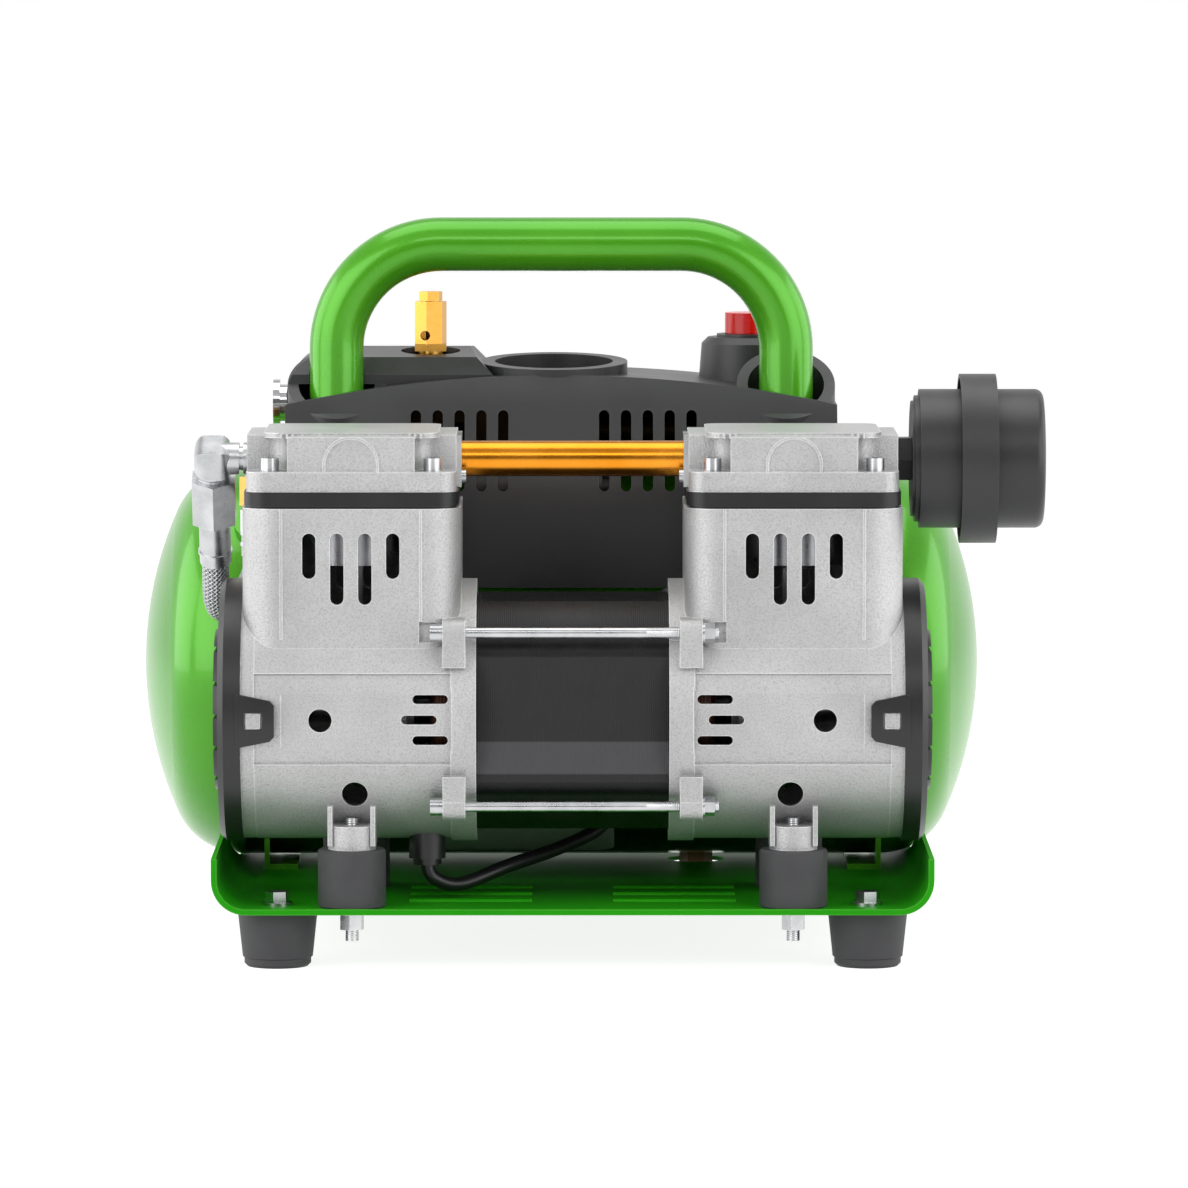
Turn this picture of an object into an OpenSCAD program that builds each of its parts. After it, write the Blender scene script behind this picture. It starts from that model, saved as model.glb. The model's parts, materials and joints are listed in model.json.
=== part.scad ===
// Oil-free twin-cylinder air compressor on a small horizontal tank.
// X runs along the pump and the tank, Y from the pump to the tank, Z up from the ground.
// Every piece is drawn from the tray's front edge and the pump's middle plane,
// then moved so that the origin is under the middle of the whole machine.

/* [Tray and feet] */
// Half width of the pressed tray
tray_half_w = 167; // [165:1:175]
// Depth of the tray from its front edge to its back edge
tray_depth = 300; // [296:1:320]
// Height of the tray's floor above the ground
floor_z = 28.2; // [26:0.2:32]
// Sheet thickness of the tray
tray_t = 2; // [1.5:0.1:2.2]
// Height of the tray's upturned sides above its floor
side_h = 24; // [20:1:26]
// Outer bend radius of the tray's sides
bend_r = 16; // [12:1:18]
// Thickness of the tray's rolled front and back edges
hem_t = 2.7; // [2.3:0.1:4.2]
// Distance of the feet from the tray's sides
foot_side = 30; // [27:1:36]
// Distance of the feet from the tray's front and back edges
foot_inset = 25; // [22:1:30]
// Top radius of a rubber foot
foot_r = 18.5; // [17:0.5:20]
// Radius of the M6 screws and studs
m6_r = 3; // [2.8:0.1:3]

/* [Pump] */
// Distance of the shaft from the tray's front edge
shaft_y = 60; // [60:1:61]
// Height of the shaft above the ground
shaft_z = 116.2; // [116:0.2:118]
// Distance of each cylinder's axis from the middle plane
cyl_x = 102.3; // [101:0.1:103]
// Half length of the motor's lamination stack
stack_half = 44.6; // [43:0.1:45]
// Outer end of each crankcase
case_end_x = 153.3; // [152:0.1:154]
// Outer radius of the crankcase barrel
case_r = 59; // [58.5:0.1:59.2]
// Wall of the crankcase castings
case_wall = 3.2; // [2.6:0.1:3.4]
// Radius of the crankcase flange against the motor
flange_r = 61.3; // [61:0.1:61.8]
// Side of the square cylinder jacket
jacket_w = 101; // [100:0.5:102]
// Corner radius of the cylinder jacket
jacket_corner = 16; // [12:1:16]
// Height of the jacket's top face above the shaft
deck_h = 97.3; // [97:0.1:98]
// Cylinder bore radius
bore_r = 31.85; // [31:0.05:32]
// Piston stroke
stroke = 16; // [14:0.5:16]
// Radius of the pump's rubber buffers
buffer_r = 15.75; // [14:0.25:16.5]
// Distance of the buffers in front of and behind the shaft
buffer_y = 42; // [41:0.5:43]
// Height of the rubber buffers
buffer_h = 27; // [26.6:0.1:27]
// Radius of the motor laminations at their corners
stack_r = 60.3; // [59.8:0.1:60.6]
// Half distance across the flats of the laminations
stack_flat = 52.9; // [52:0.1:53.4]
// Height of the tie bolts above and below the shaft
tie_z = 40.2; // [39:0.1:41]
// Distance of the tie bolts in front of and behind the shaft
tie_y = 53; // [52.5:0.1:53.5]
// Radius of the tie bolts
tie_r = 2.5; // [2:0.1:2.5]
// Outer radius of the fan covers
cover_r = 61.5; // [61.3:0.1:62]
// Depth of a fan cover without its raised grille
cover_depth = 10.7; // [10:0.1:12]

/* [Heads and air path] */
// Thickness of the black valve plate
plate_t = 7.6; // [6:0.1:8]
// Width of a head cover
head_w = 97; // [96:0.5:98]
// Thickness of a head cover's flange
head_flange_t = 9.2; // [8:0.1:10]
// Height of a head cover's block above its flange
head_block_h = 16.2; // [16:0.1:17]
// Outer radius of the orange transfer tube
tube_r = 8.3; // [8:0.05:8.4]
// Outer radius of the filter body
filter_r = 32.4; // [31:0.2:34]
// Outer radius of the filter cap's skirt
filter_skirt_r = 39.5; // [38:0.5:41]
// Length of the filter from its inner face to its outer end
filter_len = 61.6; // [60:0.2:64]
// Backward lean of the outlet elbow's leg, in degrees
elbow_lean = 27; // [26:1:28]
// Outer radius of the braided hose
hose_r = 6.2; // [5.6:0.1:6.3]

/* [Tank and handle] */
// Sideways offset of the tank from the pump's middle plane
tank_x = -5.4; // [-6:0.1:-5]
// Gap between the pump's widest part and the tank
tank_gap = 3.5; // [3:0.1:4.5]
// Gap between the tray's floor and the tank
tank_lift = 3.3; // [2.8:0.1:3.8]
// Outer radius of the tank
tank_r = 94; // [93.5:0.1:94]
// Half length of the tank over its ends
tank_half = 202; // [201:1:204]
// Wall thickness of the tank
tank_wall = 2; // [1.5:0.1:3]
// Knuckle radius of the tank's dished ends
knuckle_r = 34; // [30:1:38]
// Crown radius of the tank's dished ends
crown_r = 180; // [175:1:190]
// Distance of the handle's legs from the housing's ends
handle_inset = 24; // [23.5:0.1:24.5]
// Distance of the handle in front of the tank's axis
handle_front = 59; // [58:0.5:59.5]
// Height of the handle's grip axis above the tank
grip_rise = 110.3; // [100:1:116]
// Outer radius of the handle tube
handle_r = 12.9; // [12:0.1:13]
// Centreline bend radius of the handle
handle_bend = 50; // [45:1:55]
// Wall of the handle tube
handle_wall = 2; // [1.5:0.1:2.5]

/* [Housing] */
// Half width of the plastic housing
house_half = 131.4; // [131:0.1:132.4]
// Wall of the plastic housing
house_wall = 2.6; // [2:0.1:3]
// Distance of the housing's front face from the tank's axis
house_front = 93; // [92:0.5:93]
// Distance of the housing's back face from the tank's axis
house_back = 81; // [80:1:85]
// Depth of the housing's lower edge below the tank's top
house_drop = 51.5; // [49.5:0.5:52.5]
// Height of the housing's ridge above the tank's top
house_rise = 48; // [46.5:0.5:49.5]
// Radius of the housing's wide top arch
arch_r = 650; // [600:10:700]
// Outer radius of the collars round the handle's legs
collar_r = 23.5; // [23:0.1:23.8]
// Inner radius of the collars
collar_in_r = 18.3; // [17:0.1:19]
// Slope of the collars' rims towards the front, in degrees
collar_slope = 33; // [28:1:36]
// Sideways offset of the vents and the dish from the tank's middle
vent_x = -3.6; // [-5:0.2:0]
// Radius of the dish in the housing's top
dish_r = 28.4; // [26:0.2:30]
// Distance of the switch tower from the handle's right leg
tower_inset = 16.7; // [16:0.1:17]
// Radius of the switch tower at its foot
tower_r = 24.5; // [23:0.5:25]
// Radius of the red button
button_r = 11.5; // [10:0.25:12]

/* [Hidden] */
$fn = 64;

// Clearances
seat = 0.02;
run_fit = 0.05;
slip = 0.2;
gap = 0.3;
tab_rise = 0.9;
screw_gap = 0.1;
// Paint and material colours
paint_green = [0.36, 0.68, 0.22];
cast_grey = [0.74, 0.74, 0.74];
plastic_grey = [0.28, 0.28, 0.28];
plastic_black = [0.12, 0.12, 0.12];
rubber_grey = [0.25, 0.25, 0.26];
steel = [0.72, 0.72, 0.74];
brass = [0.85, 0.64, 0.3];
orange_tube = [0.9, 0.55, 0.12];

// Heights and ends worked out from the driving sizes
under_z = floor_z - tray_t;
pump_foot_z = floor_z + buffer_h;
deck_z = shaft_z + deck_h;
plate_top_z = deck_z + plate_t;
flange_top_z = plate_top_z + head_flange_t;
block_top_z = flange_top_z + head_block_h;
tube_z = flange_top_z + 3.4;
tank_y = shaft_y + cover_r + tank_gap + tank_r;
tank_z = floor_z + tank_lift + tank_r;
tank_top = tank_z + tank_r;
house_front_y = tank_y - house_front;
house_back_y = tank_y + house_back;
house_low_z = tank_top - house_drop;
house_top_z = tank_top + house_rise;
sky_z = house_top_z + 60;
handle_y = tank_y - handle_front;
grip_z = tank_top + grip_rise;
head_depth = crown_r - sqrt(pow(crown_r - knuckle_r, 2) - pow(tank_r - knuckle_r, 2));
tank_straight = tank_half - head_depth;
cover_face_x = case_end_x + cover_depth;
grille_x = cover_face_x + 2.8;
boss_x = cyl_x + head_w / 2 + 0.7;
filter_x = case_end_x + 4.5;
filter_end_x = filter_x + filter_len;
foot_x = tray_half_w - foot_side;
handle_x = house_half - handle_inset;
tower_x = handle_x - tower_inset;
centre_x = (filter_end_x + tank_x - tank_half) / 2;
centre_y = (shaft_y - cover_r - tab_rise + tank_y + tank_r) / 2;
crank_r = stroke / 2;
piston_top_h = deck_h - 0.5 - crank_r;

// The whole machine is moved so that the origin lies under its middle
module placed() {
    translate([-centre_x, -centre_y, 0]) children();
}

// A cylinder along X between two planes, round the shaft's axis
module on_shaft(x0, x1, r) {
    translate([x0, shaft_y, shaft_z]) rotate([0, 90, 0]) cylinder(h = x1 - x0, r = r);
}

// A cylinder along X anywhere
module bar_x(x0, x1, y, z, r) {
    translate([x0, y, z]) rotate([0, 90, 0]) cylinder(h = x1 - x0, r = r);
}

// A cylinder along Y anywhere
module bar_y(y0, y1, x, z, r) {
    translate([x, y0, z]) rotate([-90, 0, 0]) cylinder(h = y1 - y0, r = r);
}

// An upright cylinder anywhere
module bar_z(z0, z1, x, y, r) {
    translate([x, y, z0]) cylinder(h = z1 - z0, r = r);
}

// A hexagon prism on Z of a given width across flats
module hex_z(z0, z1, flats) {
    translate([0, 0, z0]) cylinder(h = z1 - z0, r = flats / 2 / cos(30), $fn = 6);
}

// A flat rectangle with round corners, about its middle
module round_rect(w, d, r) {
    square([w - 2 * r, d], center = true);
    square([w, d - 2 * r], center = true);
    for (sx = [-1, 1], sy = [-1, 1])
        translate([sx * (w / 2 - r), sy * (d / 2 - r)]) circle(r);
}

// A block with upright round corners
module round_block(x, y, z0, z1, w, d, r) {
    translate([x, y, z0]) linear_extrude(z1 - z0) round_rect(w, d, r);
}

// A slot with round ends, upright in X and Z, cut along Y
module slot_y(x, z, w, h, y0, y1) {
    translate([x, y0, z]) rotate([90, 0, 0]) mirror([0, 0, 1]) linear_extrude(y1 - y0) {
        square([w > h ? w - h : w, w > h ? h : h - w], center = true);
        for (s = [-1, 1])
            translate(w > h ? [s * (w - h) / 2, 0] : [0, s * (h - w) / 2])
                circle(min(w, h) / 2);
    }
}

// Children on the right and again, mirrored, on the left
module both_sides() {
    children();
    mirror([1, 0, 0]) children();
}

// Children at the four places of a rectangle about a point
module at_corners(x, y, dx, dy) {
    for (sx = [-1, 1], sy = [-1, 1])
        translate([x + sx * dx, y + sy * dy, 0]) children();
}

// Children at the four feet, and at the four buffers
module at_feet() {
    at_corners(0, tray_depth / 2, foot_x, tray_depth / 2 - foot_inset) children();
}
module at_buffers() {
    at_corners(0, shaft_y, cyl_x, buffer_y) children();
}

// Tray: a sheet bent up at both sides, with rolled edges, ribs and holes

module tray_section(t) {
    difference() {
        union() {
            translate([-tray_half_w, under_z + bend_r])
                square([2 * tray_half_w, floor_z + side_h - under_z - bend_r]);
            translate([-tray_half_w + bend_r, under_z])
                square([2 * (tray_half_w - bend_r), bend_r + 1]);
            for (s = [-1, 1])
                translate([s * (tray_half_w - bend_r), under_z + bend_r]) circle(bend_r);
        }
        translate([-tray_half_w + t, under_z + bend_r])
            square([2 * (tray_half_w - t), side_h + bend_r]);
        translate([-tray_half_w + bend_r, under_z + t])
            square([2 * (tray_half_w - bend_r), bend_r + 1]);
        for (s = [-1, 1])
            translate([s * (tray_half_w - bend_r), under_z + bend_r]) circle(bend_r - t);
    }
}

hem_w = 2.2;
tank_clear = 1;
rib_r = 3;
rib_rise = 1.2;
rib_gap = 27;
rib_first_y = 40;
rib_in_x = 19;
rib_out_x = 76;
drain_x = 60;
drain_hole_r = 14;

module tray_ribs() {
    intersection() {
        union() {
            for (row = [0 : 2])
                bar_x(rib_in_x, rib_out_x, rib_first_y + row * rib_gap,
                    floor_z + rib_rise - rib_r, rib_r);
        }
        translate([0, 0, floor_z - tray_t / 2]) cube([tray_half_w, tray_depth, 2 * rib_r]);
    }
}

module base_tray() {
    color(paint_green) placed() difference() {
        union() {
            translate([0, tray_depth, 0]) rotate([90, 0, 0])
                linear_extrude(tray_depth) tray_section(tray_t);
            for (y = [hem_w, tray_depth])
                translate([0, y, 0]) rotate([90, 0, 0])
                    linear_extrude(hem_w) tray_section(hem_t);
            both_sides() tray_ribs();
        }
        at_feet() bar_z(under_z - 1, floor_z + 5, 0, 0, m6_r + gap);
        at_buffers() bar_z(under_z - 1, floor_z + 5, 0, 0, m6_r + gap);
        bar_z(under_z - 1, floor_z + 5, drain_x, tank_y, drain_hole_r);
        tank_solid(tank_clear);
    }
}

// Saddles: a formed bracket under each end of the tank

saddle_x = tray_half_w - 21;
saddle_t = 2.5;
saddle_half_d = 46;
saddle_foot_w = 16;

module saddle() {
    difference() {
        union() {
            translate([saddle_x, tank_y - saddle_half_d, floor_z])
                cube([saddle_t, 2 * saddle_half_d, 40]);
            translate([saddle_x - saddle_foot_w + saddle_t, tank_y - saddle_half_d, floor_z])
                cube([saddle_foot_w, 2 * saddle_half_d, saddle_t]);
        }
        tank_solid(slip);
    }
}

module tank_saddles() {
    color(paint_green) placed() both_sides() saddle();
}

// Tank: a rolled shell with two dished ends, hollow, with welded bungs

module tank_outline(r, half, k, crown) {
    straight = half - (crown - sqrt(pow(crown - k, 2) - pow(r - k, 2)));
    for (s = [0, 1])
        mirror([0, s, 0]) intersection() {
            union() {
                square([r, straight]);
                square([(r - k) * crown / (crown - k), half]);
                translate([r - k, straight]) circle(k);
            }
            translate([0, half - crown]) circle(crown, $fn = 180);
            square([r, half]);
        }
}

port_r = 9;
bung_r = 14;
check_bung_r = 12;
check_x = tank_x - house_half - check_bung_r - 1.2;
check_angle = 42;
manifold_x = -40;
manifold_y = tank_y;

// The tank's outside, grown or shrunk by the same distance all over
module tank_solid(grow) {
    translate([tank_x, tank_y, tank_z]) rotate([0, 90, 0]) rotate_extrude($fn = 128)
        tank_outline(tank_r + grow, tank_half + grow, knuckle_r + grow, crown_r + grow);
}

// Children stand on the tank's surface at an angle from the top, towards the pump
module on_tank(x, angle) {
    translate([x, tank_y, tank_z]) rotate([angle, 0, 0]) translate([0, 0, tank_r]) children();
}

module tank_shell() {
    color(paint_green) placed() difference() {
        union() {
            tank_solid(0);
            on_tank(check_x, check_angle) bar_z(-4, 3, 0, 0, check_bung_r);
            on_tank(manifold_x, 0) bar_z(-4, 3, 0, 0, bung_r);
        }
        tank_solid(-tank_wall);
        on_tank(check_x, check_angle) bar_z(-12, 12, 0, 0, port_r - 2);
        on_tank(manifold_x, 0) bar_z(-12, 12, 0, 0, port_r);
        bar_z(tank_z - tank_r - 10, tank_z - tank_r + 10, drain_x, tank_y, 5 + slip);
    }
}

// Feet and their bolts

foot_sole_r = 15.5;
foot_sole_h = 4;
foot_recess_r = 8;
foot_recess_h = 12;

module rubber_feet() {
    color(rubber_grey) placed() at_feet() difference() {
        rotate_extrude() polygon([[0, 0], [foot_sole_r - 1.5, 0], [foot_sole_r, 1.5],
            [foot_sole_r, foot_sole_h], [foot_sole_r + 0.8, foot_sole_h + 0.6],
            [foot_r, under_z - 1], [foot_r, under_z], [0, under_z]]);
        bar_z(-1, under_z + 1, 0, 0, m6_r + gap);
        bar_z(-1, foot_recess_h, 0, 0, foot_recess_r);
    }
}

module foot_bolts() {
    color(steel) placed() at_feet() {
        bar_z(foot_recess_h - 7, floor_z + 1, 0, 0, m6_r);
        bar_z(floor_z, floor_z + 1.4, 0, 0, 7);
        rotate([0, 0, 12]) hex_z(floor_z + 1.4, floor_z + 6.4, 10);
        difference() {
            hex_z(foot_recess_h - 5, foot_recess_h, 10);
            bar_z(0, foot_recess_h + 1, 0, 0, m6_r + screw_gap);
        }
    }
}

// Rubber buffers between the tray and the pump, with their studs and nuts

stud_depth = 8;

module pump_buffers() {
    color(rubber_grey) placed() at_buffers() difference() {
        translate([0, 0, floor_z]) rotate_extrude() polygon([[0, 0], [buffer_r - 0.8, 0],
            [buffer_r, 0.8], [buffer_r, buffer_h - 0.8], [buffer_r - 0.8, buffer_h],
            [0, buffer_h]]);
        bar_z(floor_z - 1, floor_z + stud_depth, 0, 0, m6_r + screw_gap);
        bar_z(pump_foot_z - stud_depth, pump_foot_z + 1, 0, 0, m6_r + screw_gap);
    }
}

foot_block_h = 11.1;

module buffer_fasteners() {
    color(steel) placed() at_buffers() {
        bar_z(pump_foot_z - stud_depth, pump_foot_z + foot_block_h + 3.3, 0, 0, m6_r);
        bar_z(under_z - 13.8, floor_z + stud_depth, 0, 0, m6_r);
        difference() {
            union() {
                bar_z(under_z - 1.4, under_z, 0, 0, 7.5);
                rotate([0, 0, 20]) hex_z(under_z - 8.6, under_z - 1.4, 10);
            }
            bar_z(0, under_z + 1, 0, 0, m6_r + screw_gap);
        }
    }
}

// Crankcases: barrel, square cylinder jacket, bulkhead, lugs and mounting feet

jacket_slot_w = 6.2;
jacket_slot_pitch = 12.9;
winding_cup_end = 77;
bearing_r = 16;
bearing_w = 10;
bearing_x = 78;
bulkhead_t = 6;
hub_r = 20;
shaft_r = 8;
journal_r = 6;
screw_pitch = 37.7;
m5_r = 2.5;
lug_x0 = 49.5;
lug_x1 = 60;
lug_r = 6.3;
foot_half = 11;
liner_wall = 2;
liner_len = 27.5;
liner_flange_r = 37;
deck_t = 8.5;

module at_ties() {
    for (sy = [-1, 1], sz = [-1, 1])
        translate([0, shaft_y + sy * tie_y, shaft_z + sz * tie_z]) children();
}

module at_head_screws() {
    at_corners(cyl_x, shaft_y, screw_pitch, screw_pitch) children();
}

module tie_lugs() {
    for (sy = [-1, 1]) {
        for (sz = [-1, 1])
            bar_x(lug_x0, lug_x1, shaft_y + sy * tie_y, shaft_z + sz * tie_z, lug_r);
        for (box = [[-38, -26], [24.5, 40.2]])
            translate([lug_x0, shaft_y + (sy > 0 ? 40 : -tie_y - lug_r), shaft_z + box[0]])
                cube([lug_x1 - lug_x0, tie_y + lug_r - 40, box[1] - box[0]]);
        for (sz = [-1, 1])
            translate([lug_x0, shaft_y + (sy > 0 ? 40 : -tie_y), shaft_z + sz * tie_z - lug_r])
                cube([lug_x1 - lug_x0, tie_y - 40, 2 * lug_r]);
    }
}

module case_feet() {
    for (s = [-1, 1]) {
        stud_y = shaft_y + s * buffer_y;
        bar_z(pump_foot_z, pump_foot_z + foot_block_h, cyl_x, stud_y, foot_half);
        translate([cyl_x - foot_half, min(stud_y, shaft_y + s * 12), pump_foot_z])
            cube([2 * foot_half, buffer_y - 12, foot_block_h]);
        for (e = [-1, 1])
            translate([cyl_x + e * (foot_half - 1.1) - 1.1,
                min(stud_y + s * 8, shaft_y + s * 12), pump_foot_z + 2])
                cube([2.2, buffer_y - 4, foot_block_h + 7.3]);
    }
}

module barrel() {
    on_shaft(stack_half, case_end_x, case_r);
    on_shaft(stack_half, stack_half + 11.7, flange_r);
    on_shaft(case_end_x - 6.3, case_end_x, case_r + 1);
    for (z = [-80, 21.6])
        intersection() {
            on_shaft(stack_half + 11.7, case_end_x - 6.3, case_r + 1.2);
            translate([0, 0, shaft_z + z]) cube([200, 200, 59.6]);
        }
}

module jacket_shape(z0, z1, shrink) {
    round_block(cyl_x, shaft_y, z0, z1, jacket_w - 2 * shrink, jacket_w - 2 * shrink,
        jacket_corner - shrink);
}

module jacket_slots() {
    for (i = [-1.5 : 1 : 1.5]) {
        x = cyl_x + i * jacket_slot_pitch;
        slot_top = deck_z - 11.3;
        slot_h = abs(i) < 1 ? 33 : 21;
        slot_y(x, slot_top - slot_h / 2, jacket_slot_w, slot_h, -5, 2 * shaft_y + 5);
    }
}

module front_panel_cuts() {
    translate([stack_half + 11.2, -20, shaft_z - 15.5])
        cube([case_end_x - stack_half - 30, 20 + shaft_y - case_r + 1.4, 31]);
    bar_y(-5, 20, cyl_x + 14.2, shaft_z, 5.4);
    bar_y(-5, 25, cyl_x - 1.6, shaft_z - 35, 6);
    for (row = [-1, 0, 1])
        slot_y(row == 0 ? 70.9 : 65.7, shaft_z + 0.3 + row * 9.5, 16.4, 4.2, -5, 20);
}

module case_cavities() {
    on_shaft(stack_half - 1, winding_cup_end, case_r - case_wall - 0.3);
    on_shaft(winding_cup_end + bulkhead_t, case_end_x + 1, case_r - case_wall);
    jacket_shape(shaft_z + 24, deck_z - deck_t, case_wall);
    bar_z(deck_z - deck_t - 1, deck_z + 1, cyl_x, shaft_y, bore_r + liner_wall + seat);
    bar_z(deck_z - 2, deck_z + 1, cyl_x, shaft_y, liner_flange_r + seat);
    for (a = [0 : 60 : 300])
        translate([0, shaft_y, shaft_z]) rotate([a, 0, 0])
            bar_x(winding_cup_end - 1, winding_cup_end + bulkhead_t + 1, 0, 37, 9);
}

module case_hub() {
    difference() {
        on_shaft(bearing_x - 4, bearing_x + bearing_w, hub_r);
        on_shaft(bearing_x, bearing_x + bearing_w + 1, bearing_r + seat);
        on_shaft(bearing_x - 5, bearing_x + 1, shaft_r + 3);
    }
}

module head_screw_pillars() {
    intersection() {
        at_head_screws() bar_z(deck_z - 24, deck_z - 1, 0, 0, 7.5);
        jacket_shape(deck_z - 24, deck_z, 1);
    }
}

module clip_nubs() {
    for (s = [-1, 1])
        translate([case_end_x - 9.3, shaft_y + s * (case_r + 0.6) - 1.6, shaft_z - 3.6])
            cube([6.6, 3.2, 7.2]);
}

module crankcase() {
    difference() {
        union() {
            difference() {
                union() {
                    barrel();
                    jacket_shape(shaft_z, deck_z, 0);
                    for (s = [-1, 1], e = [-1, 1])
                        translate([cyl_x + s * 32.2 - 0.6, shaft_y + e * jacket_w / 2 - 0.6,
                            shaft_z + 37]) cube([1.2, 1.2, deck_h - 37]);
                    tie_lugs();
                    case_feet();
                }
                case_cavities();
            }
            case_hub();
            head_screw_pillars();
        }
        front_panel_cuts();
        translate([0, 2 * shaft_y, 0]) mirror([0, 1, 0]) front_panel_cuts();
        jacket_slots();
        on_shaft(bearing_x, bearing_x + bearing_w + 1, bearing_r + seat);
        on_shaft(bearing_x - 5, bearing_x + 1, shaft_r + 3);
        at_head_screws() bar_z(deck_z - 19, deck_z + 1, 0, 0, m5_r + screw_gap);
        at_ties() bar_x(lug_x0 - 5, lug_x1 + 1, 0, 0, tie_r + gap);
        at_ties() bar_x(lug_x1, lug_x1 + 11, 0, 0, 5.4);
        for (s = [-1, 1])
            bar_z(pump_foot_z - 1, pump_foot_z + foot_block_h + 4, cyl_x,
                shaft_y + s * buffer_y, m6_r + screw_gap);
    }
    clip_nubs();
}

lead_x = -67.8;
lead_y = 46;
gland_r = 8.5;

module crankcase_left() {
    color(cast_grey) placed() difference() {
        mirror([1, 0, 0]) crankcase();
        bar_z(shaft_z - 70, shaft_z - 45, lead_x, lead_y, 5);
    }
}

module crankcase_right() {
    color(cast_grey) placed() crankcase();
}

// Cylinder liners, valve plates and reeds

module cylinder_sleeves() {
    color(steel) placed() both_sides() difference() {
        union() {
            bar_z(deck_z - liner_len, deck_z, cyl_x, shaft_y, bore_r + liner_wall);
            bar_z(deck_z - 2 + seat, deck_z, cyl_x, shaft_y, liner_flange_r);
        }
        bar_z(deck_z - liner_len - 1, deck_z + 1, cyl_x, shaft_y, bore_r);
    }
}

port_spread = 14;

module at_ports() {
    at_corners(cyl_x, shaft_y, port_spread, 9) children();
}

module valve_plates() {
    color(plastic_black) placed() both_sides() difference() {
        union() {
            round_block(cyl_x, shaft_y, deck_z + 1.2, plate_top_z, head_w + 2, head_w + 2, 10);
            round_block(cyl_x, shaft_y, deck_z, deck_z + 1.2, head_w, head_w, 9);
        }
        at_head_screws() bar_z(deck_z - 1, plate_top_z + 1, 0, 0, m5_r + gap);
        at_ports() bar_z(deck_z - 1, plate_top_z + 1, 0, 0, 3.5);
    }
}

reed_t = 0.4;

module reed_valves() {
    color(steel) placed() both_sides()
        for (s = [-1, 1])
            round_block(cyl_x + s * port_spread, shaft_y, plate_top_z, plate_top_z + reed_t,
                9, 34, 4);
}

// Head covers: flange, block with corner pockets, arch ridge and two chambers

pocket_r = 8.3;
spigot_depth = 14;
neck_r = 7;

module head_block(z0, z1) {
    difference() {
        round_block(cyl_x, shaft_y, z0, z1, head_w, head_w - 4, 6);
        at_head_screws() bar_z(z0 - 1, z1 + 1, 0, 0, pocket_r);
        for (sx = [-1, 1], sy = [-1, 1], side = [0, 1])
            translate([cyl_x + sx * (screw_pitch + 10 - side * pocket_r / 2),
                shaft_y + sy * (screw_pitch + 10 - (1 - side) * pocket_r / 2), z0])
                cube([20 + side * pocket_r, 20 + (1 - side) * pocket_r, 3 * (z1 - z0)],
                    center = true);
    }
}

module arch_ridge() {
    arch_r_out = 13;
    face_y = shaft_y - head_w / 2 + 2;
    translate([cyl_x, face_y, tube_z]) rotate([90, 0, 0]) linear_extrude(0.8)
        difference() {
            union() {
                circle(arch_r_out);
                translate([-arch_r_out, flange_top_z - tube_z])
                    square([2 * arch_r_out, tube_z - flange_top_z]);
            }
            circle(arch_r_out - 1.2);
            translate([1.2 - arch_r_out, flange_top_z - tube_z - 1])
                square([2 * (arch_r_out - 1.2), tube_z - flange_top_z + 1]);
        }
}

module head_marks() {
    for (s = [-1, 1], i = [0 : 2])
        translate([cyl_x + s * (27 + i * 2.6) - 0.4, shaft_y - 43, block_top_z - 1])
            cube([0.8, 7, 1.8]);
}

module head() {
    difference() {
        union() {
            round_block(cyl_x, shaft_y, plate_top_z, flange_top_z, head_w, head_w, 8);
            head_block(flange_top_z - 1, block_top_z);
            round_block(cyl_x, shaft_y, block_top_z - 1, block_top_z + 1.4, 81, 76, 8);
            arch_ridge();
            head_marks();
            bar_x(cyl_x, boss_x, shaft_y, tube_z, 11);
        }
        for (s = [-1, 1])
            round_block(cyl_x + s * 15.5, shaft_y, plate_top_z - 1, block_top_z - 3.4,
                27, 60, 4);
        bar_x(cyl_x - head_w / 2 - 1, cyl_x - head_w / 2 + spigot_depth, shaft_y, tube_z,
            tube_r + seat);
        bar_x(cyl_x - head_w / 2 + 12, cyl_x - 20, shaft_y, tube_z, tube_r - 1.5);
        bar_x(cyl_x + 20, cyl_x + head_w / 2 + 2, shaft_y, tube_z, neck_r);
        at_head_screws() bar_z(plate_top_z - 1, flange_top_z + 1, 0, 0, m5_r + gap);
        for (s = [-1, 1])
            bar_x(cyl_x - head_w / 2 - 1, cyl_x - head_w / 2 + 6, shaft_y + s * 14,
                flange_top_z - 4, 1.5 + screw_gap);
    }
}

module head_left() {
    color(cast_grey) placed() mirror([1, 0, 0]) head();
}

module head_right() {
    color(cast_grey) placed() head();
}

module head_screws() {
    color(steel) placed() both_sides() at_head_screws() difference() {
        union() {
            bar_z(deck_z - 15, flange_top_z + 1, 0, 0, m5_r);
            bar_z(flange_top_z, flange_top_z + 6, 0, 0, 4.25);
        }
        translate([0, 0, flange_top_z]) hex_z(3, 7, 4);
    }
}

// Motor: lamination stack, windings, tie bolts

stack_bore = 35.3;
winding_r = 50;
winding_end = 66;

module stator_core() {
    color(plastic_black) placed() translate([-stack_half, shaft_y, shaft_z])
        rotate([90, 0, 90]) linear_extrude(2 * stack_half) difference() {
            intersection() {
                circle(stack_r, $fn = 128);
                square(2 * stack_flat, center = true);
            }
            circle(stack_bore);
        }
}

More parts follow.
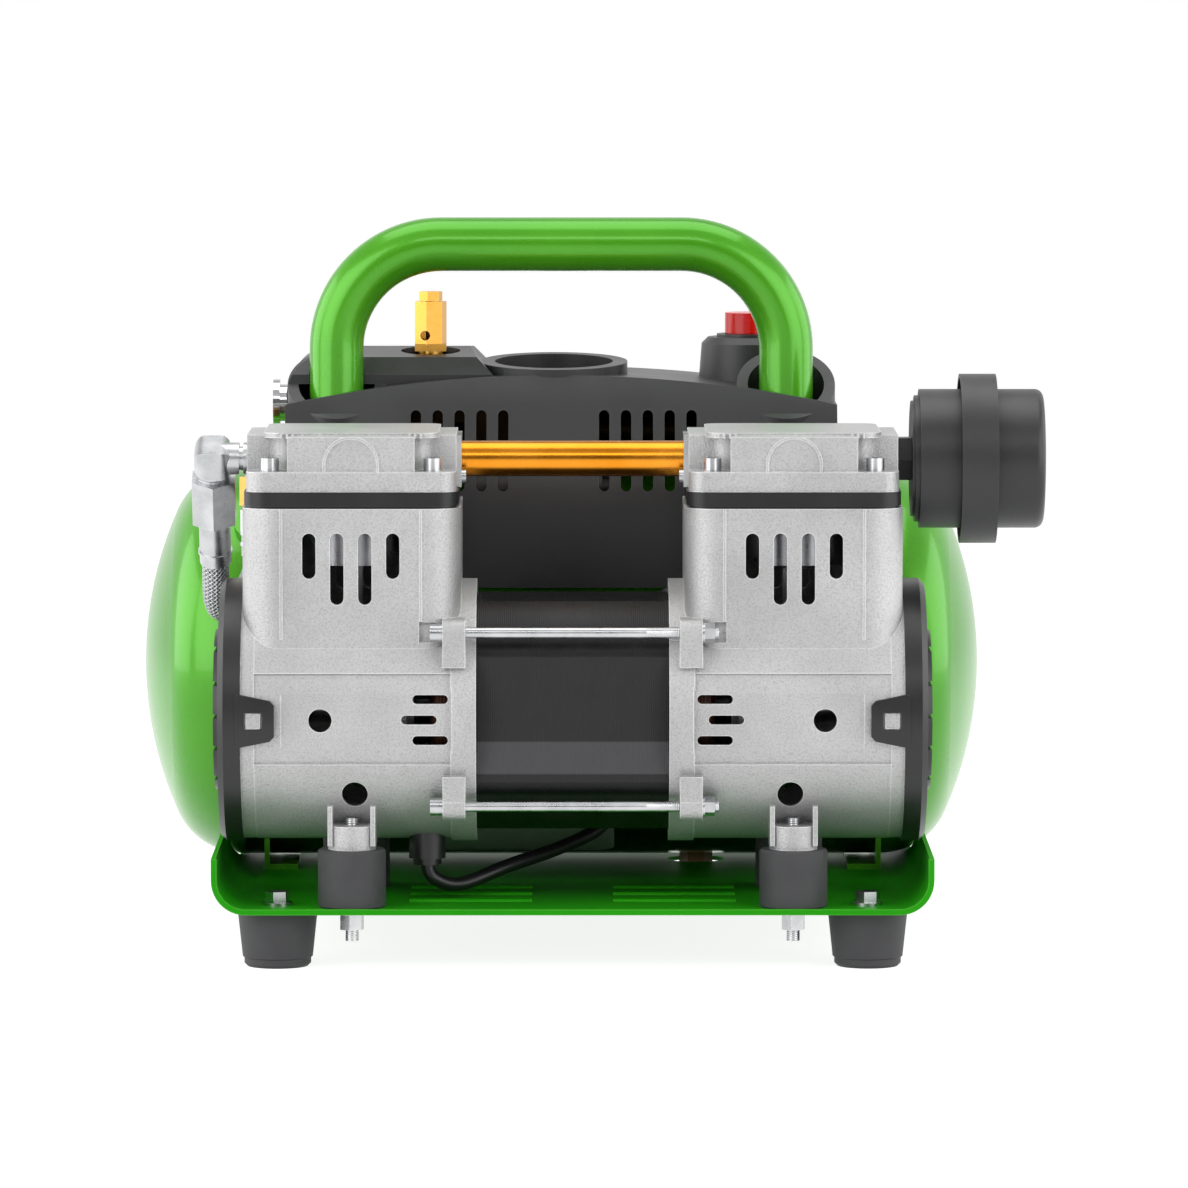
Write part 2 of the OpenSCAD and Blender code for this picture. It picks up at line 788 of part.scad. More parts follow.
module stator_windings() {
    color([0.7, 0.35, 0.15]) placed() both_sides()
        translate([stack_half, shaft_y, shaft_z]) rotate([90, 0, 90]) rotate_extrude()
            translate([stack_bore + 3, 0]) {
                square([winding_r - stack_bore - 3, winding_end - stack_half - 5]);
                translate([5, 0])
                    square([winding_r - stack_bore - 13, winding_end - stack_half]);
                for (e = [5, winding_r - stack_bore - 8])
                    translate([e, winding_end - stack_half - 5]) circle(5);
            }
}

tie_head_l = 5.8;

module tie_bolts() {
    color(steel) placed() at_ties() {
        bar_x(-lug_x1, lug_x1 + 7.5, 0, 0, tie_r);
        difference() {
            bar_x(-lug_x1 - tie_head_l, -lug_x1, 0, 0, 4.2);
            translate([-lug_x1 - tie_head_l - 1, 0, 0]) rotate([0, 90, 0]) hex_z(0, 4, 4);
        }
        difference() {
            translate([lug_x1, 0, 0]) rotate([0, 90, 0]) {
                bar_z(0, 1, 0, 0, 4.8);
                hex_z(1, 5.6, 8);
            }
            bar_x(lug_x1 - 1, lug_x1 + 8, 0, 0, tie_r + screw_gap);
        }
    }
}

// Fan covers: a cup with a chamfered rim, a raised slotted grille and two clip tabs

grille_r = 38.6;
cover_wall = 2.2;
tab_len = 15.7;

module cover_shell() {
    translate([case_end_x, shaft_y, shaft_z]) rotate([0, 90, 0]) rotate_extrude($fn = 96)
        polygon([[cover_r - cover_wall, 0], [cover_r, 0], [cover_r, 8],
            [cover_r - 2.8, cover_depth], [grille_r, cover_depth],
            [grille_r - 1.6, cover_depth + 2.8], [0, cover_depth + 2.8], [0, cover_depth - 2],
            [cover_r - 3.8, cover_depth - 2], [cover_r - cover_wall, 7]]);
}

module cover_slots() {
    for (i = [-2 : 2]) {
        half = sqrt(pow(grille_r + 1, 2) - pow(i * 15, 2));
        translate([case_end_x + cover_depth - 3, shaft_y - half, shaft_z + i * 15 - 1.1])
            cube([8, 2 * half, 2.2]);
    }
    for (i = [-2.5 : 1 : 2.5], j = [-1, 0, 1], k = [-1, 1]) {
        reach = sqrt(pow(grille_r - 5, 2) - pow(i * 15 - (i > 0 ? 3.6 : -3.6), 2));
        if (abs(j) * 22 + 9 < reach)
            translate([case_end_x + cover_depth - 3, shaft_y + j * 22 - 9,
                shaft_z + i * 15 + k * 2.4 - 1]) cube([8, 18, 2]);
    }
}

module clip_tab() {
    intersection() {
        difference() {
            on_shaft(case_end_x - tab_len, case_end_x + 2, cover_r + tab_rise);
            on_shaft(case_end_x - tab_len - 1, case_end_x + 3, case_r + 1.2);
        }
        translate([0, shaft_y, shaft_z]) rotate([90, 0, 0]) linear_extrude(cover_r + 2)
            difference() {
                polygon([[case_end_x + 2, -12.2], [case_end_x, -12.2],
                    [case_end_x - tab_len + 2, -9.4], [case_end_x - tab_len, -7.2],
                    [case_end_x - tab_len, 7.2], [case_end_x - tab_len + 2, 9.4],
                    [case_end_x, 12.2], [case_end_x + 2, 12.2]]);
                translate([case_end_x - 10.3, -4]) square([8.4, 8]);
            }
    }
}

module fan_cover() {
    difference() {
        cover_shell();
        cover_slots();
    }
    clip_tab();
    translate([0, 2 * shaft_y, 0]) mirror([0, 1, 0]) clip_tab();
}

module fan_cover_left() {
    color(plastic_black) placed() mirror([1, 0, 0]) fan_cover();
}

module fan_cover_right() {
    color(plastic_black) placed() fan_cover();
}

// Rotor, bearings, eccentrics, fans and pistons

ecc_x0 = 90;
ecc_x1 = 97.5;
rod_x0 = 98;
rod_x1 = 106.6;
fan_x0 = 128;
fan_x1 = 144;
shaft_end = 147;
big_end_r = 16;

module main_bearings() {
    color(steel) placed() both_sides() difference() {
        on_shaft(bearing_x, bearing_x + bearing_w, bearing_r);
        on_shaft(bearing_x - 1, bearing_x + bearing_w + 1, journal_r + run_fit);
        for (x = [bearing_x - 1, bearing_x + bearing_w - 0.8])
            difference() {
                on_shaft(x, x + 1.8, bearing_r - 2.5);
                on_shaft(x - 1, x + 3, journal_r + 2.2);
            }
    }
}

module rotor_shaft() {
    color(steel) placed() {
        on_shaft(-bearing_x + 0.5, bearing_x - 0.5, shaft_r);
        on_shaft(-shaft_end, shaft_end, journal_r);
    }
}

module rotor_core() {
    color(steel) placed() difference() {
        union() {
            on_shaft(-stack_half + 1, stack_half - 1, stack_bore - 0.6);
            both_sides() difference() {
                on_shaft(stack_half - 1, stack_half + 7, stack_bore - 2);
                on_shaft(stack_half - 2, stack_half + 8, stack_bore - 12);
            }
        }
        on_shaft(-stack_half - 8, stack_half + 8, shaft_r + seat);
    }
}

// Throw is +1 on the side whose piston is at the top, and -1 on the other
module eccentric(throw) {
    difference() {
        union() {
            translate([0, 0, throw * crank_r]) on_shaft(ecc_x0, ecc_x1, big_end_r - 1);
            intersection() {
                on_shaft(ecc_x0, ecc_x1, 34);
                translate([0, shaft_y, shaft_z]) rotate([throw > 0 ? 180 : 0, 0, 0])
                    translate([0, -24, 0]) cube([200, 48, 60]);
            }
        }
        on_shaft(ecc_x0 - 1, ecc_x1 + 1, journal_r + seat);
    }
}

module eccentrics() {
    color(cast_grey) placed() {
        mirror([1, 0, 0]) eccentric(1);
        eccentric(-1);
    }
}

module fan_wheel() {
    difference() {
        union() {
            on_shaft(fan_x0, fan_x1, 13);
            for (a = [0 : 360 / 7 : 359])
                translate([(fan_x0 + fan_x1) / 2, shaft_y, shaft_z]) rotate([a, 0, 0])
                    translate([0, 0, 31]) rotate([0, 0, 38]) cube([2, 20, 38], center = true);
        }
        on_shaft(fan_x0 - 1, fan_x1 + 1, journal_r + seat);
    }
}

module cooling_fans() {
    color(plastic_black) placed() both_sides() fan_wheel();
}

cup_r = bore_r - run_fit;

// A rod with its big end, the piston's base, the sealing cup and the cup's retainer
module piston(throw) {
    eye_z = shaft_z + throw * crank_r;
    top_z = eye_z + piston_top_h;
    mid_x = (rod_x0 + rod_x1) / 2;
    translate([0, 0, eye_z - shaft_z]) difference() {
        union() {
            on_shaft(rod_x0, rod_x1, big_end_r + 4.5);
            translate([rod_x0, shaft_y - 8, shaft_z + big_end_r + 1])
                cube([rod_x1 - rod_x0, 16, piston_top_h - big_end_r - 9]);
        }
        on_shaft(rod_x0 - 1, rod_x1 + 1, big_end_r);
        for (x = [rod_x0 - 1, rod_x1 - 2.4])
            translate([x, shaft_y - 4.5, shaft_z + big_end_r + 6])
                cube([3.4, 9, piston_top_h - big_end_r - 24]);
    }
    bar_z(top_z - 9, top_z - 6, cyl_x, shaft_y, bore_r - 1.2);
    bar_z(top_z - 6, top_z - 2.5, cyl_x, shaft_y, cup_r);
    bar_z(top_z - 2.5, top_z, cyl_x, shaft_y, bore_r - 2.5);
    bar_z(top_z - 14, top_z - 8.5, mid_x, shaft_y, 12);
}

module piston_left() {
    color(cast_grey) placed() mirror([1, 0, 0]) piston(1);
}

module piston_right() {
    color(cast_grey) placed() piston(-1);
}

// Transfer tube between the heads, with a clamp plate at each end

tube_end = cyl_x - head_w / 2 + spigot_depth - 1;
clamp_t = 2.2;

module transfer_tube() {
    color(orange_tube) placed() difference() {
        bar_x(-tube_end, tube_end, shaft_y, tube_z, tube_r);
        bar_x(-tube_end - 1, tube_end + 1, shaft_y, tube_z, tube_r - 1.5);
    }
}

module tube_clamps() {
    clamp_x = cyl_x - head_w / 2 - clamp_t;
    color(steel) placed() both_sides() {
        difference() {
            translate([clamp_x, shaft_y - 18, flange_top_z - 8.8]) cube([clamp_t, 36, 24]);
            bar_x(clamp_x - 1, clamp_x + 4, shaft_y, tube_z, tube_r + seat);
        }
        for (s = [-1, 1]) {
            bar_x(clamp_x - 2, clamp_x + 1, shaft_y + s * 14, flange_top_z - 4, 3);
            bar_x(clamp_x, clamp_x + 6, shaft_y + s * 14, flange_top_z - 4, 1.5);
        }
    }
}

// Intake filter on the right head

filter_body_l = 35.2;
filter_web = 37.4;
filter_floor = 4.2;

module on_filter() {
    translate([filter_x, shaft_y, tube_z]) rotate([0, 90, 0]) children();
}

module filter_body() {
    color(plastic_grey) placed() on_filter() difference() {
        union() {
            rotate_extrude($fn = 96) polygon([[0, 0], [27, 0], [27, 1.5], [29.5, 1.5],
                [29.5, 3.7], [filter_r, 3.7], [filter_r, filter_body_l], [0, filter_body_l]]);
            bar_z(boss_x - filter_x - 9, 1, 0, 0, neck_r - seat);
            rotate([0, 0, 30]) hex_z(boss_x - filter_x, 0.5, 19.6);
        }
        bar_z(filter_floor, filter_body_l + 1, 0, 0, filter_r - 2);
        bar_z(boss_x - filter_x - 10, filter_floor + 1, 0, 0, 4.5);
    }
}

module filter_cap() {
    color(plastic_grey) placed() on_filter() rotate_extrude($fn = 96) {
        polygon([[filter_skirt_r - 2, 22.6], [filter_skirt_r, 22.6],
            [filter_skirt_r, filter_web + 2], [filter_r, filter_web + 2],
            [filter_r, filter_len - 4], [filter_r - 4, filter_len], [0, filter_len],
            [0, filter_len - 2.5], [filter_r - 6, filter_len - 2.5],
            [filter_r - 2.5, filter_len - 6], [filter_r - 2.5, filter_web + 2],
            [filter_r - 4, filter_web], [filter_r - 4, 30.2], [filter_r - 2 - seat, 30.2],
            [filter_r - 2 - seat, filter_web], [filter_skirt_r - 2, filter_web]]);
        translate([filter_r - 4, filter_len - 4]) circle(4);
    }
}

module filter_element() {
    color([0.9, 0.88, 0.8]) placed() on_filter() difference() {
        bar_z(filter_floor, 30.2, 0, 0, 30);
        bar_z(filter_floor - 1, 31, 0, 0, 15);
    }
}

// Outlet elbow, hose fittings, braided hose and check valve

elbow_x = boss_x + 16.3;
elbow_w = 17.3;
elbow_low = -7;
elbow_high = 7.5;
elbow_round = 5;
thread_r = 7.5;
nut_top = 10;
nut_end = 33;
ferrule_end = 56;
ferrule_r = 7.4;
check_out = 24;
check_arm = 13.7;
check_flats = 14;
check_thread_r = 5.5;

module at_elbow() {
    translate([-elbow_x, shaft_y, tube_z]) children();
}

module outlet_elbow() {
    color(steel) placed() at_elbow() difference() {
        union() {
            rotate([elbow_lean, 0, 0]) intersection() {
                round_block(0, 0, elbow_low, elbow_high, elbow_w, elbow_w, elbow_round);
                translate([0, elbow_w / 2, (elbow_low + elbow_high) / 2]) rotate([90, 0, 0])
                    linear_extrude(elbow_w)
                        round_rect(elbow_w, elbow_high - elbow_low, elbow_round);
            }
            rotate([elbow_lean, 0, 0]) bar_z(-15, 0, 0, 0, thread_r);
            bar_x(0, elbow_x - boss_x, 0, 0, 5.6);
            bar_x(elbow_x - boss_x - 1, elbow_x - boss_x + 8, 0, 0, neck_r - seat);
            bar_x(3, elbow_x - boss_x - 4, 0, 0, 7.5);
            bar_x(elbow_x - boss_x - 2, elbow_x - boss_x, 0, 0, 7.5);
        }
        bar_x(-3, elbow_x - boss_x + 9, 0, 0, 4);
        rotate([elbow_lean, 0, 0]) bar_z(-16, 3, 0, 0, 4);
    }
}

// A swivel nut and its crimped ferrule, hanging down from their seat
module hose_end(seat_z, nut_z, end_z, flats, bore) {
    difference() {
        union() {
            rotate([0, 0, 30]) hex_z(-nut_z, -seat_z, flats);
            bar_z(-nut_z - 2, -nut_z, 0, 0, ferrule_r + 0.6);
            bar_z(-end_z, -nut_z + 1, 0, 0, ferrule_r - 1.3);
            bar_z(-end_z, -nut_z - 1, 0, 0, ferrule_r);
            bar_z(-end_z + 5, -end_z + 6.5, 0, 0, ferrule_r + 0.6);
        }
        bar_z(-seat_z - 5.2, -seat_z + 1, 0, 0, bore + seat);
        bar_z(-end_z - 1, -seat_z, 0, 0, 4);
        bar_z(-end_z - 1, -nut_z - 4, 0, 0, hose_r + seat);
    }
}

module at_check() {
    translate([0, -check_arm, 0]) on_tank(check_x, check_angle)
        translate([0, 0, check_out]) rotate([-check_angle, 0, 0]) children();
}

module hose_fittings() {
    color(steel) placed() {
        at_elbow() rotate([elbow_lean, 0, 0]) hose_end(nut_top, nut_end, ferrule_end, 20, thread_r);
        at_check() hose_end(8, 18, 30, check_flats + 1, check_thread_r);
    }
}

module check_valve() {
    color(brass) placed() difference() {
        union() {
            on_tank(check_x, check_angle) {
                bar_z(-8, 4, 0, 0, port_r - 2 - seat);
                hex_z(3, check_out + 6, check_flats);
            }
            at_check() {
                bar_y(0, check_arm, 0, 0, 6);
                hex_z(-6, 7.5, check_flats);
                bar_z(-13, -5, 0, 0, check_thread_r);
            }
        }
        on_tank(check_x, check_angle) bar_z(-9, check_out + 1, 0, 0, 3.4);
        at_check() bar_y(-1, check_arm + 1, 0, 0, 2.8);
        at_check() bar_z(-14, 1.5, 0, 0, 2.3);
    }
}

function unit(v) = v / norm(v);

// A smooth curve through points: the usual cubic through four neighbours
function curve_at(p, i, t) =
    let (a = p[max(i - 1, 0)], b = p[i], c = p[i + 1], d = p[min(i + 2, len(p) - 1)])
    0.5 * (2 * b + (c - a) * t + (2 * a - 5 * b + 4 * c - d) * t * t
        + (3 * b - a - 3 * c + d) * t * t * t);

function curve(p, n) = [for (i = [0 : len(p) - 2], k = [0 : n - 1]) curve_at(p, i, k / n),
    p[len(p) - 1]];

function ring(c, t, ref, r, n) =
    let (u = unit(cross(t, ref)), v = cross(unit(t), u))
    [for (k = [0 : n - 1]) c + r * (cos(k * 360 / n) * u + sin(k * 360 / n) * v)];

module swept(pts, ref, r, n) {
    last = len(pts) - 1;
    rings = [for (i = [0 : last])
        ring(pts[i], pts[min(i + 1, last)] - pts[max(i - 1, 0)], ref, r, n)];
    polyhedron([for (g = rings) each g], concat(
        [[for (k = [0 : n - 1]) k]],
        [[for (k = [n - 1 : -1 : 0]) last * n + k]],
        [for (i = [0 : last - 1], k = [0 : n - 1])
            [i * n + k, (i + 1) * n + k, (i + 1) * n + (k + 1) % n, i * n + (k + 1) % n]]));
}

hose_bends = [[-168, 92, 174.5], [-168, 101, 165], [-166, 111, 159.5], [-161, 120, 160.5],
    [-155, 125.5, 167], [-151, 126.5, 175]];

module braided_hose() {
    top = [-elbow_x, shaft_y, tube_z]
        + (nut_end + 5) * [0, sin(elbow_lean), -cos(elbow_lean)];
    mouth = [-elbow_x, shaft_y, tube_z]
        + ferrule_end * [0, sin(elbow_lean), -cos(elbow_lean)];
    check = [check_x, tank_y - check_arm, tank_z]
        + (tank_r + check_out) * [0, -sin(check_angle), cos(check_angle)];
    pts = concat([top, mouth], hose_bends, [check - [0, 0, 30], check - [0, 0, 23]]);
    color(steel) placed() swept(curve(pts, 4), [1, 0, 0], hose_r, 12);
}

// Motor lead from the left crankcase, round the motor, into the housing

lead_r = 3.25;
gland_low_z = 45;
lead_bends = [[-64, 46, 38], [-52, 52, 35], [-30, 66, 42], [-6, 88, 48], [12, 107, 55],
    [24, 119, 68], [30, 121.5, 86], [32, 119.4, 108], [33, 119.2, 130], [35, 120, 152],
    [43, 120.5, 164], [59, 121.2, 171.5], [69, 121.8, 173.5], [72.5, 126, 175.5],
    [73, 132, 179], [75, 141, 194], [78, 154, 214], [79, 172, 232]];
notch_x = 72;

module motor_lead() {
    pts = concat([[lead_x, lead_y, gland_low_z + 14], [lead_x, lead_y, gland_low_z]],
        lead_bends, [[80, switch_y0 - 7, port_z], [80, switch_y0 - 0.6, port_z]]);
    color(plastic_black) placed() swept(curve(pts, 4), [-0.6, 0.8, 0], lead_r, 10);
}

mains_x = -62;
mains_z = tank_top - 13.5;

module cable_glands() {
    color(plastic_black) placed() {
        difference() {
            union() {
                bar_z(gland_low_z + 3, gland_low_z + 16, lead_x, lead_y, gland_r);
                bar_z(gland_low_z, gland_low_z + 3, lead_x, lead_y, gland_r - 2);
            }
            on_shaft(-case_end_x, 0, case_r + 1.2 + seat);
            on_shaft(-stack_half - 11.7, 0, flange_r + seat);
            bar_z(gland_low_z - 1, gland_low_z + 20, lead_x, lead_y, lead_r + slip);
        }
        difference() {
            bar_z(gland_low_z + 8, shaft_z - 50, lead_x, lead_y, 5 - seat);
            bar_z(gland_low_z - 1, shaft_z, lead_x, lead_y, lead_r + slip);
        }
        difference() {
            union() {
                bar_y(house_back_y, house_back_y + 9, mains_x, mains_z, 9);
                bar_y(house_back_y - house_wall - 6, house_back_y, mains_x, mains_z, 6);
                translate([mains_x, house_back_y - house_wall, mains_z]) rotate([90, 0, 0])
                    hex_z(0, 4, 16);
            }
            bar_y(house_back_y - house_wall - 7, house_back_y + 10, mains_x, mains_z, 3.5);
        }
    }
}

// Housing: one hollow shape, parted into a front and a rear cover at the handle's plane

front_curve = 110;
front_crease = 26;
front_curve_z = house_top_z
    - sqrt(pow(front_curve, 2) - pow(front_curve - front_crease, 2));
panel_top_y = tank_y + 21;
panel_y = tank_y + 51;
panel_tilt = 32;
panel_z = house_top_z - (panel_y - panel_top_y) * tan(panel_tilt);
house_back_z = house_top_z - (house_back_y - panel_top_y) * tan(panel_tilt);
gauge_x = 40;
gauge_cut_r = 18.4;
knob_x = 0;
valve_x = -68.3;
valve_y = tank_y - 29;
coupler_y = tank_y - 24;
coupler_z = house_top_z - 15.5;
tower_y = tank_y - 4;
tower_z = house_top_z + 15.5;
hump_z = house_top_z + 10;
hump_end_x = -32;
hump_round = 20;
hump_back_y = tank_y + 17;
cup_y = tank_y - 33;
cup_z = house_top_z + 5.2;
cup_wall_r = dish_r + 7;
cover_screw_z = tank_top - 10.5;
vent_z = house_top_z - 34.9;
collar_low_z = house_top_z - 33.5;
cover_screw_y = 8;

module house_body(s) {
    intersection() {
        translate([s - house_half, 0, 0]) rotate([90, 0, 90])
            linear_extrude(2 * (house_half - s)) intersection() {
                polygon([[house_front_y + s, house_low_z - (s > 0 ? 9 : 0)],
                    [house_front_y + s, house_top_z - s],
                    [panel_top_y - s * tan(panel_tilt / 2), house_top_z - s],
                    [house_back_y - s, house_back_z - s * tan(45 - panel_tilt / 2)],
                    [house_back_y - s, house_low_z - (s > 0 ? 9 : 0)]]);
                union() {
                    translate([house_front_y + front_curve, front_curve_z])
                        circle(front_curve - s, $fn = 240);
                    translate([house_front_y, 0]) square([house_back_y, front_curve_z]);
                }
            }
        translate([0, house_front_y - 1, house_top_z - arch_r]) rotate([-90, 0, 0])
            cylinder(h = house_back_y, r = arch_r - s, $fn = 720);
        round_block(0, (house_front_y + house_back_y) / 2, tank_z, sky_z,
            2 * (house_half - s), house_back_y - house_front_y - 2 * s, 10 - s);
    }
}

module house_hump(s) {
    intersection() {
        translate([-house_half, 0, 0]) rotate([90, 0, 90]) linear_extrude(house_half)
            polygon([[handle_y + s, tank_top + 10], [handle_y + s, hump_z - 10],
                [handle_y + 8, hump_z - 2 - s], [handle_y + 46, hump_z + 1.5 - s],
                [hump_back_y, hump_z - s], [hump_back_y + 30 - s, tank_top + 20],
                [hump_back_y, tank_top + 10]]);
        translate([0, house_back_y, 0]) rotate([90, 0, 0]) linear_extrude(house_back_y) {
            translate([s - house_half, tank_z])
                square([house_half + hump_end_x - s, hump_z - hump_round - tank_z]);
            translate([hump_round - house_half, tank_z])
                square([house_half + hump_end_x - hump_round - 12, hump_z + 5 - tank_z]);
            polygon([[hump_end_x - 12, tank_z], [hump_end_x - 12, hump_z + 1.5 - s],
                [hump_end_x - s, house_top_z - 1 - s], [hump_end_x - s, tank_z]]);
            translate([hump_round - house_half, hump_z - hump_round])
                circle(hump_round - s);
        }
        round_block(0, (house_front_y + house_back_y) / 2, tank_z, sky_z,
            2 * (house_half - s), house_back_y - house_front_y - 2 * s, 10 - s);
    }
}

module at_legs() {
    for (s = [-1, 1]) translate([s * handle_x, handle_y, 0]) children();
}

module collars(r, z0) {
    intersection() {
        at_legs() bar_z(z0, sky_z, 0, 0, r);
        translate([-200, handle_y, house_top_z - 4.5]) rotate([collar_slope, 0, 0])
            translate([0, -100, -100]) cube([400, 200, 100]);
    }
}

module at_cup() {
    translate([vent_x, cup_y, cup_z]) rotate([4, 0, 0]) children();
}

module tower(s) {
    translate([tower_x, tower_y, 0]) rotate_extrude()
        polygon([[0, tower_z - 43], [tower_r - s, tower_z - 43], [tower_r - s, tower_z - 25],
            [tower_r - 1.7 - s, tower_z - 3], [tower_r - 4.7 - s, tower_z - s],
            [0, tower_z - s]]);
}

module at_cover_screws() {
    for (s = [-1, 1], e = [-1, 1])
        translate([s * handle_x, handle_y + e * cover_screw_y, cover_screw_z])
            rotate([0, s * 90, 0]) children();
}

screw_seat = house_half - handle_x;

module house_shell() {
    difference() {
        union() {
            difference() {
                union() {
                    house_body(0);
                    house_hump(0);
                    tower(0);
                    bar_z(tower_z - 2, tower_z + 1.5, tower_x, tower_y, 15.5);
                    collars(collar_r, collar_low_z);
                    at_cup() bar_z(-16, 0, 0, 0, cup_wall_r);
                }
                difference() {
                    union() {
                        house_body(house_wall);
                        house_hump(house_wall);
                        tower(house_wall);
                    }
                    collars(collar_r, collar_low_z);
                    at_cup() bar_z(-10.6, 0, 0, 0, cup_wall_r);
                }
            }
            at_cover_screws() bar_z(8, screw_seat - 1, 0, 0, 4);
        }
        collars(collar_in_r, collar_low_z + 3);
        at_legs() bar_z(tank_z, sky_z, 0, 0, handle_r + gap);
        at_cup() bar_z(-8, 9, 0, 0, dish_r);
        at_cover_screws() bar_z(0, screw_seat + 1, 0, 0, 1.5 + screw_gap);
        bar_z(tank_top, sky_z, tower_x, tower_y, button_r + gap);
        for (s = [-1, 1], i = [0 : 4])
            slot_y(vent_x + s * (24 + i * 10.4), vent_z, 5, 38, house_front_y - 1,
                house_front_y + 22);
        slot_y(notch_x - tank_x, house_low_z, 9, 36, house_front_y - 1, house_front_y + 9);
        translate([-tank_x, 0, 0]) {
            bar_z(tank_top, sky_z, valve_x, valve_y, 8);
            bar_z(hump_z - 3, sky_z, valve_x, valve_y, 14.3);
            bar_x(-house_half - 20, -100, coupler_y, coupler_z, 9.2);
            bar_y(house_back_y - 20, house_back_y + 9, mains_x, mains_z, 6 + seat);
            bar_x(tank_x - 200, tank_x + 200, tank_y, tank_z, tank_r + slip);
        }
        for (s = [-1, 1]) on_panel(s * gauge_x) bar_z(-20, 9, 0, 0, gauge_cut_r);
        on_panel(knob_x) bar_z(-20, 9, 0, 0, 9.2);
    }
}

// Children stand on the sloping rear panel
module on_panel(x) {
    translate([x, panel_y, panel_z]) rotate([-panel_tilt, 0, 0]) children();
}

module half_space(s) {
    translate([-200, handle_y + (s < 0 ? -200 : 0), tank_z]) cube([400, 200, sky_z]);
}

module in_house() {
    translate([tank_x, 0, 0]) children();
}

module housing_front() {
    color(plastic_grey) placed() in_house() intersection() {
        house_shell();
        half_space(-1);
    }
}

module housing_rear() {
    color(plastic_grey) placed() in_house() intersection() {
        house_shell();
        half_space(1);
    }
}

module housing_screws() {
    color(steel) placed() in_house() at_cover_screws() {
        bar_z(6, screw_seat + 1, 0, 0, 1.5);
        difference() {
            bar_z(screw_seat, screw_seat + 2, 0, 0, 3.2);
            hex_z(screw_seat + 0.8, screw_seat + 3, 2.5);
        }
    }
}

// Carrying handle: a bent tube, coped onto the tank

module handle_bar(r) {
    at_legs() bar_z(house_low_z + 2, grip_z - handle_bend, 0, 0, r);
    for (s = [0, 1]) mirror([s, 0, 0])
        translate([handle_x - handle_bend, handle_y, grip_z - handle_bend])
            rotate([90, 0, 0]) rotate_extrude(angle = 90)
                translate([handle_bend, 0]) circle(r);
    bar_x(handle_bend - handle_x, handle_x - handle_bend, handle_y, grip_z, r);
}

module carry_handle() {
    color(paint_green) placed() in_house() difference() {
        handle_bar(handle_r);
        handle_bar(handle_r - handle_wall);
        bar_x(-200, 200, tank_y, tank_z, tank_r + seat);
        at_cover_screws() bar_z(0, 20, 0, 0, 1.5);
    }
}

// Air manifold on the tank, with the safety valve and the quick coupler

bar_half = 9;
branch_x = -26;
branch_z = tank_top + 12.5;
branch_end_y = tank_y + 38;
manifold_low = tank_top + 3;
port_z = tank_top + 18.5;

module air_manifold() {
    color(brass) placed() difference() {
        union() {
            bar_z(manifold_low - 8, manifold_low + 4, manifold_x, manifold_y, port_r - seat);
            translate([manifold_x - 12, coupler_y - bar_half, manifold_low])
                cube([24, manifold_y + 12 - coupler_y + bar_half,
                    coupler_z + bar_half - manifold_low]);
            translate([-112, coupler_y - bar_half, coupler_z - bar_half])
                cube([manifold_x + 112, 2 * bar_half, 2 * bar_half]);
            bar_x(manifold_x, switch_x0, manifold_y, port_z, 6);
            bar_y(manifold_y, branch_end_y, branch_x, branch_z, 4.5);
        }
        bar_z(manifold_low - 9, coupler_z, manifold_x, manifold_y, 5);
        bar_x(-113, manifold_x, coupler_y, coupler_z, 6);
        bar_z(coupler_z, coupler_z + 20, valve_x, valve_y, 4);
        bar_x(manifold_x, switch_x0 + 1, manifold_y, port_z, 3);
        bar_y(manifold_y, branch_end_y + 1, branch_x, branch_z, 2.5);
    }
}

valve_top_z = hump_z + 23.8;

module safety_valve_body() {
    color(brass) placed() translate([valve_x, valve_y, 0]) difference() {
        union() {
            bar_z(coupler_z + bar_half, hump_z + 1, 0, 0, 6);
            bar_z(coupler_z + 2, coupler_z + bar_half, 0, 0, 4 - seat);
            translate([-7.5, -7.5, hump_z]) cube([15, 15, 3.5]);
            rotate([0, 0, 15]) hex_z(hump_z + 3, valve_top_z, 13.6);
        }
        bar_z(coupler_z, valve_top_z - 11, 0, 0, 2.4);
        bar_z(valve_top_z - 13.3, valve_top_z + 1, 0, 0, 4.2);
        bar_y(-9, 0, -2.6, valve_top_z - 16.3, 2.4);
    }
}

module safety_valve_stem() {
    color(brass) placed() translate([valve_x, valve_y, 0]) {
        bar_z(valve_top_z - 12.3, valve_top_z + 0.7, 0, 0, 4.2 - run_fit);
        rotate([0, 0, 15]) hex_z(valve_top_z + gap, valve_top_z + 4.7, 10);
    }
}

coupler_x0 = tank_x - house_half;

module quick_coupler() {
    color(steel) placed() difference() {
        union() {
            bar_x(coupler_x0 - 7.4, -111, coupler_y, coupler_z, 6 - seat);
            translate([-112.01, coupler_y, coupler_z]) rotate([0, -90, 0]) hex_z(0, 8, 15);
            bar_x(coupler_x0 - 1.4, -119, coupler_y, coupler_z, 6.8);
            bar_x(coupler_x0 - 7.4, coupler_x0 - 5, coupler_y, coupler_z, 7.4);
        }
        bar_x(coupler_x0 - 9, -100, coupler_y, coupler_z, 4.2);
    }
}

module coupler_sleeve() {
    color(steel) placed() difference() {
        union() {
            bar_x(coupler_x0 - 7.4, coupler_x0 - 4.2, coupler_y, coupler_z, 11.5);
            bar_x(coupler_x0 - 5, coupler_x0 - 0.6, coupler_y, coupler_z, 9);
        }
        bar_x(coupler_x0 - 8, coupler_x0, coupler_y, coupler_z, 7.4 + run_fit);
    }
}

// Pressure switch under its button, and the motor's run capacitor

switch_x0 = 60;
switch_y0 = tank_y - 22;
switch_top_z = tower_z - 35;

